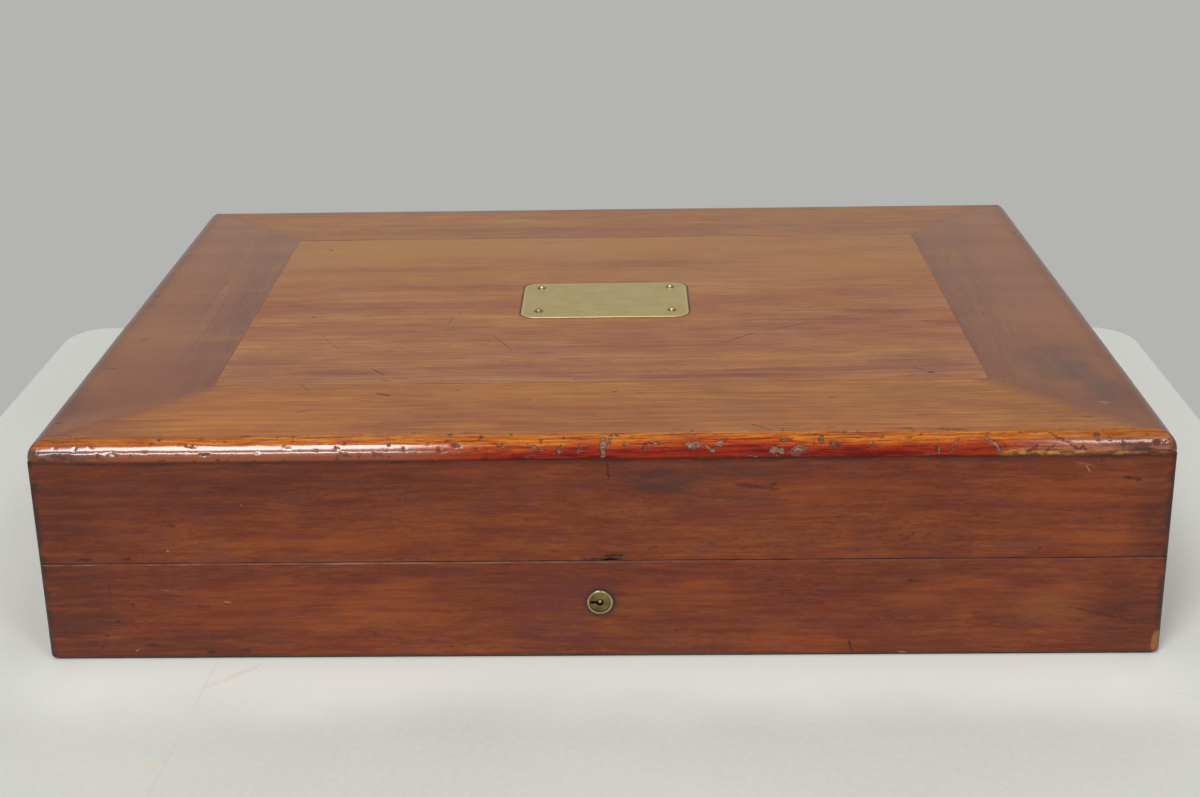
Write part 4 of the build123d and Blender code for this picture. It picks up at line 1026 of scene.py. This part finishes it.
# ------------------------------------------------------------------ the chest
def dress_walls():
    """The eight boards of the base and the lid."""
    front_lid = mahogany("front_lid_wood", 0.0, 1.0, WALL_SHADES, 0.40, FRONT_LID_MARKS,
                         FRONT_LID_SPOTS, FRONT_LID_PALE, FRONT_LID_REDS,
                         extra=wall_edges, lively=1.25, short=2.6,
                         light_spots=FRONT_LID_LIGHTS, shade_spots=FRONT_LID_SHADES)
    front_base = mahogany("front_base_wood", 0.0, 2.0, WALL_SHADES, 0.40, FRONT_BASE_MARKS,
                          (), FRONT_BASE_PALE, FRONT_BASE_REDS, extra=base_front_edges,
                          lively=1.25, short=2.6, light_spots=FRONT_BASE_LIGHTS,
                          shade_spots=FRONT_BASE_SHADES)
    back = mahogany("back_wood", 0.0, 3.0, WALL_SHADES, 0.42, extra=wall_edges)
    ends = mahogany("end_wood", radians(90), 4.0, WALL_SHADES, 0.42, extra=wall_edges)
    dress(front_lid, "lid_front_board")
    dress(front_base, "base_front_board")
    dress(back, "lid_back_board", "base_back_board")
    dress(ends, "lid_left_board", "lid_right_board", "base_left_board", "base_right_board")


def dress(material, *names):
    """Puts a material on CAD nodes."""
    for name in names:
        NODES[name].data.materials.clear()
        NODES[name].data.materials.append(material)
        for place in NODES[name].material_slots:
            place.link = "OBJECT"
            place.material = material


def make_top():
    """The four mitred rails and the centre panel."""
    inner_x, inner_y = HALF_WIDTH - RAIL_WIDTH, HALF_DEPTH - RAIL_WIDTH
    joint = [(-inner_y, 0.5, 0.45, 1), (inner_y, 0.6, 0.70, 1),
             (-inner_x, 0.5, 0.22, 0), (inner_x, 0.5, 0.22, 0)]
    front = mahogany("front_rail_wood", 0.0, 5.0, TOP_SHADES, 0.40, FRONT_RAIL_MARKS,
                     extra=front_rail_edge, seams=joint[:1], specular=0.04,
                     coat_ior=1.8, shade_spots=FRONT_RAIL_SHADES,
                     light_spots=FRONT_RAIL_LIGHTS)
    back = mahogany("back_rail_wood", 0.0, 6.0, BACK_RAIL_SHADES, 0.42, extra=back_rail_edge,
                    seams=joint[1:2], specular=0.04)
    sides = mahogany("end_rail_wood", radians(90), 7.0, SIDE_RAIL_SHADES, 0.42,
                     SIDE_RAIL_MARKS, SIDE_RAIL_SPOTS, SIDE_RAIL_PALE, extra=side_rail_edge,
                     seams=joint[2:], specular=0.04, lively=0.7)
    panel = mahogany("panel_wood", 0.0, 8.0, PANEL_SHADES, 0.42, TOP_MARKS,
                     red_spots=TOP_REDS, seams=joint, extra=round_plate, specular=0.5,
                     lively=0.9, shade_spots=PANEL_SHADOWS, light_spots=PANEL_LIGHTS)
    for side, half, out, turn, wood, dents, seed in (
            ("front", HALF_WIDTH, HALF_DEPTH, 0, front, FRONT_DENTS, 1.0),
            ("back", HALF_WIDTH, HALF_DEPTH, 180, back, END_DENTS, 2.0),
            ("right", HALF_DEPTH, HALF_WIDTH, 90, sides, END_DENTS, 3.0),
            ("left", HALF_DEPTH, HALF_WIDTH, -90, sides, END_DENTS[:3], 4.0)):
        top_rail(side, half, out, turn, wood, dents, seed)
    dress(panel, "top_panel")


def dress_inside():
    """Tongues, bottom board, linings, dividers and racks."""
    tongue = plain_wood("tongue_wood", 9.0, ((0.30, 0.17, 0.085), (0.42, 0.26, 0.14)))
    bottom = plain_wood("bottom_wood", 10.0, ((0.15, 0.07, 0.035), (0.22, 0.11, 0.055)))
    green = baize("green_baize", 1.0)
    cloth = lining_cloth("lining_cloth")
    dress(tongue, "base_corner_tongues", "lid_corner_tongues", "top_corner_tongues")
    dress(bottom, "base_bottom_board")
    dress(green, "underside_baize", "base_floor_baize")
    dress(cloth, "base_wall_lining", "lid_wall_lining")
    for name, body, width in (
            ("fork_handle_rack", "base", 0.7), ("spoon_handle_rack", "base", 0.7),
            ("fork_tine_rest", "base", 0.7), ("spoon_bowl_rest", "base", 0.7),
            ("long_divider", "base", 0.9), ("short_divider", "base", 0.9),
            ("knife_handle_rack", "lid", 0.7), ("knife_blade_rack", "lid", 0.7)):
        softened(name + "_covered", name, green, body, width)
    lid_pad(cloth)


def dress_metal():
    """The name plate, the lock and the hinges."""
    plate = brass("plate_brass", (0.82, 0.66, 0.29), (0.56, 0.44, 0.19), 0.55, 0.34, 1.0,
                  pin_rings=True)
    pins = brass("pin_brass", (0.62, 0.50, 0.28), (0.24, 0.17, 0.08), 0.8, 0.24, 2.0)
    aged = brass("aged_brass", (0.50, 0.37, 0.17), (0.20, 0.135, 0.062), 0.9, 0.36, 3.0)
    rim = brass("rim_brass", (0.56, 0.46, 0.27), (0.26, 0.20, 0.105), 0.8, 0.24, 6.0)
    barrel = brass("barrel_brass", (0.30, 0.215, 0.085), (0.10, 0.068, 0.03), 1.0, 0.42, 4.0)
    dull = steel("old_steel")
    dress(plate, "name_plate")
    dress(pins, "name_plate_pins", "drill_pin")
    dress(rim, "nozzle_ring")
    dress(barrel, "key_curtain")
    dress(aged, "lock_case", "lock_cap", "lock_bolt", "link_plate", "hinge_base_leaf_left",
          "hinge_base_leaf_right", "hinge_lid_leaf_left", "hinge_lid_leaf_right")
    dress(dull, "lock_cap_screws", "lock_plate_screws", "bolt_spring", "hinge_pins",
          "hinge_base_screws", "link_plate_screws", "hinge_lid_screws")


# ------------------------------------------------------------------ stage, light, camera
def table_cloth():
    """The pale covered table, with painted light just in front of the chest, lighter to the
    right, and faint crease lines painted as shade.
    """
    material, shader, place = start_material("table_cloth", Roughness=0.85)
    split = parts_of(place)
    broad = cloud(place, 0.006, 4.0, 0.55)
    fine = cloud(place, 0.35, 3.0, 0.6)
    colour = tint(remap(broad, 0.3, 0.7), (0.565, 0.568, 0.530), (0.610, 0.610, 0.575))
    colour = tint(remap(split[0], 200.0, 340.0), colour, (0.66, 0.66, 0.625))
    colour = tint(remap(fine, 0.3, 0.7, 0.0, 0.25), colour, (0.70, 0.70, 0.66))
    # painted light: the cloth is lighter just in front of and under the chest
    edge = calc("MULTIPLY_ADD", broad, 50.0, split[1] - 25.0)
    painted_light = remap(edge, -262.0, -200.0) * remap(abs(split[0]), 225.0, 275.0, 1.0, 0.35)
    colour = tint(painted_light, colour, (0.83, 0.84, 0.80))
    # painted shade along faint folds in the cloth
    crease_shade = strokes(place, [((-176, -192, 0), (-178, -240, 0), 0.8, 0.5),
                              ((-178, -240, 0), (-183, -340, 0), 0.8, 0.5),
                              ((60, -250, 0), (190, -300, 0), 0.9, 0.3),
                              ((240, -215, 0), (310, -260, 0), 0.9, 0.35)])
    colour = tint(crease_shade * 0.35, colour, (0.42, 0.41, 0.37))
    stained = strokes(place, [((-179, -217, 0), (-155, -195, 0), 2.4, 0.5),
                              ((-189, -280, 0), (-179, -269, 0), 2.2, 0.8),
                              ((-214, -263, 0), (-206, -262, 0), 0.7, 0.5),
                              ((196, -244, 0), (214, -250, 0), 1.8, 0.3)])
    stained = stained * remap(fine, 0.35, 0.6, 0.2, 0.8)
    colour = tint(stained, colour, (0.74, 0.56, 0.38))
    feed(shader.inputs["Base Color"], colour)
    bump(shader, fine, 0.25, 0.0004)
    return material


TABLE_LOW, TABLE_HIGH = Vector((-380, -620, -34)), Vector((359, 269, 0))
TABLE_TAPER, TABLE_CORNER, TABLE_EDGE = 0.010, 0.031, 0.006


def make_stage():
    """A table top with rounded corners, a little wider than the chest."""
    shape = bmesh.new()
    bmesh.ops.create_cube(shape, size=1.0)
    bmesh.ops.scale(shape, vec=(TABLE_HIGH - TABLE_LOW) * MM, verts=shape.verts)
    bmesh.ops.translate(shape, vec=(TABLE_HIGH + TABLE_LOW) * MM / 2, verts=shape.verts)
    for vert in shape.verts:
        if vert.co.y > 0:
            vert.co.y -= copysign(TABLE_TAPER, vert.co.x)
    upright = [edge for edge in shape.edges
               if abs(edge.verts[0].co.z - edge.verts[1].co.z) > 0.01]
    round_over(shape, upright, TABLE_CORNER, 16)
    rim = [edge for edge in shape.edges if all(vert.co.z > -1e-5 for vert in edge.verts)]
    round_over(shape, rim, TABLE_EDGE, 6)
    new_object(shape, "table", table_cloth(), 40.0)


def soft_box(name, place, aim, size, power):
    """A rectangular studio light at a place, pointing at a spot on the chest."""
    lamp = bpy.data.lights.new(name, "AREA")
    lamp.shape = "RECTANGLE"
    lamp.size, lamp.size_y = size
    lamp.energy = power
    light = bpy.data.objects.new(name, lamp)
    way = Vector(aim) - Vector(place)
    light.matrix_world = Matrix.Translation(place) @ way.to_track_quat("-Z", "Y").to_matrix(
        ).to_4x4()
    bpy.context.scene.collection.objects.link(light)


WALL_GREY = (0.456, 0.456, 0.445)
AMBIENT = (0.44, 0.44, 0.435)


def make_light():
    """A grey studio seen by the camera and by gloss, soft light for the rest."""
    world = bpy.data.worlds.new("studio")
    world.use_nodes = True
    tree = world.node_tree
    sky = tree.nodes["Background"]
    path = node(tree, "ShaderNodeLightPath")
    seen = most(*(path[f"Is {kind} Ray"] for kind in ("Camera", "Glossy", "Transmission")))
    feed(sky.inputs["Color"], tint(seen, AMBIENT, WALL_GREY))
    bpy.context.scene.world = world
    aim = (0.0, -0.16, 0.05)
    soft_box("front_left_box", (-0.60, -1.46, 1.78), aim, (0.62, 1.00), 20.0)
    soft_box("front_left_low_box", (-0.62, -2.00, 0.80), aim, (0.60, 0.14), 4.5)
    soft_box("front_right_box", (0.80, -1.35, 1.55), aim, (0.40, 0.40), 7.5)
    soft_box("overhead", (0.0, 0.10, 2.0), (0.0, -0.1, 0.0), (1.6, 1.2), 6.5)


LENS_MM, SENSOR_MM = 53.583, 36.0
LENS_SHIFT = (0.01293, -0.07375)
CAMERA_PLACE = (0.01434, -0.91202, 0.41452)
CAMERA_PAN, CAMERA_DIP, CAMERA_ROLL = 0.02613, 0.32897, -0.01869  # radians


def make_camera():
    """The viewpoint: in front, a little above."""
    lens = bpy.data.cameras.new("view")
    lens.lens = LENS_MM
    lens.sensor_width = SENSOR_MM
    lens.sensor_fit = "HORIZONTAL"
    lens.shift_x, lens.shift_y = LENS_SHIFT
    lens.clip_start = 0.01
    camera = bpy.data.objects.new("view", lens)
    facing = (Matrix.Rotation(CAMERA_PAN, 3, "Z") @ Matrix.Rotation(pi / 2 - CAMERA_DIP, 3, "X")
              @ Matrix.Rotation(CAMERA_ROLL, 3, "Z"))
    camera.matrix_world = Matrix.Translation(CAMERA_PLACE) @ facing.to_4x4()
    bpy.context.scene.collection.objects.link(camera)
    bpy.context.scene.camera = camera


bpy.context.scene.view_settings.view_transform = "Standard"
dress_walls()
make_top()
dress_inside()
dress_metal()
make_stage()
make_light()
make_camera()
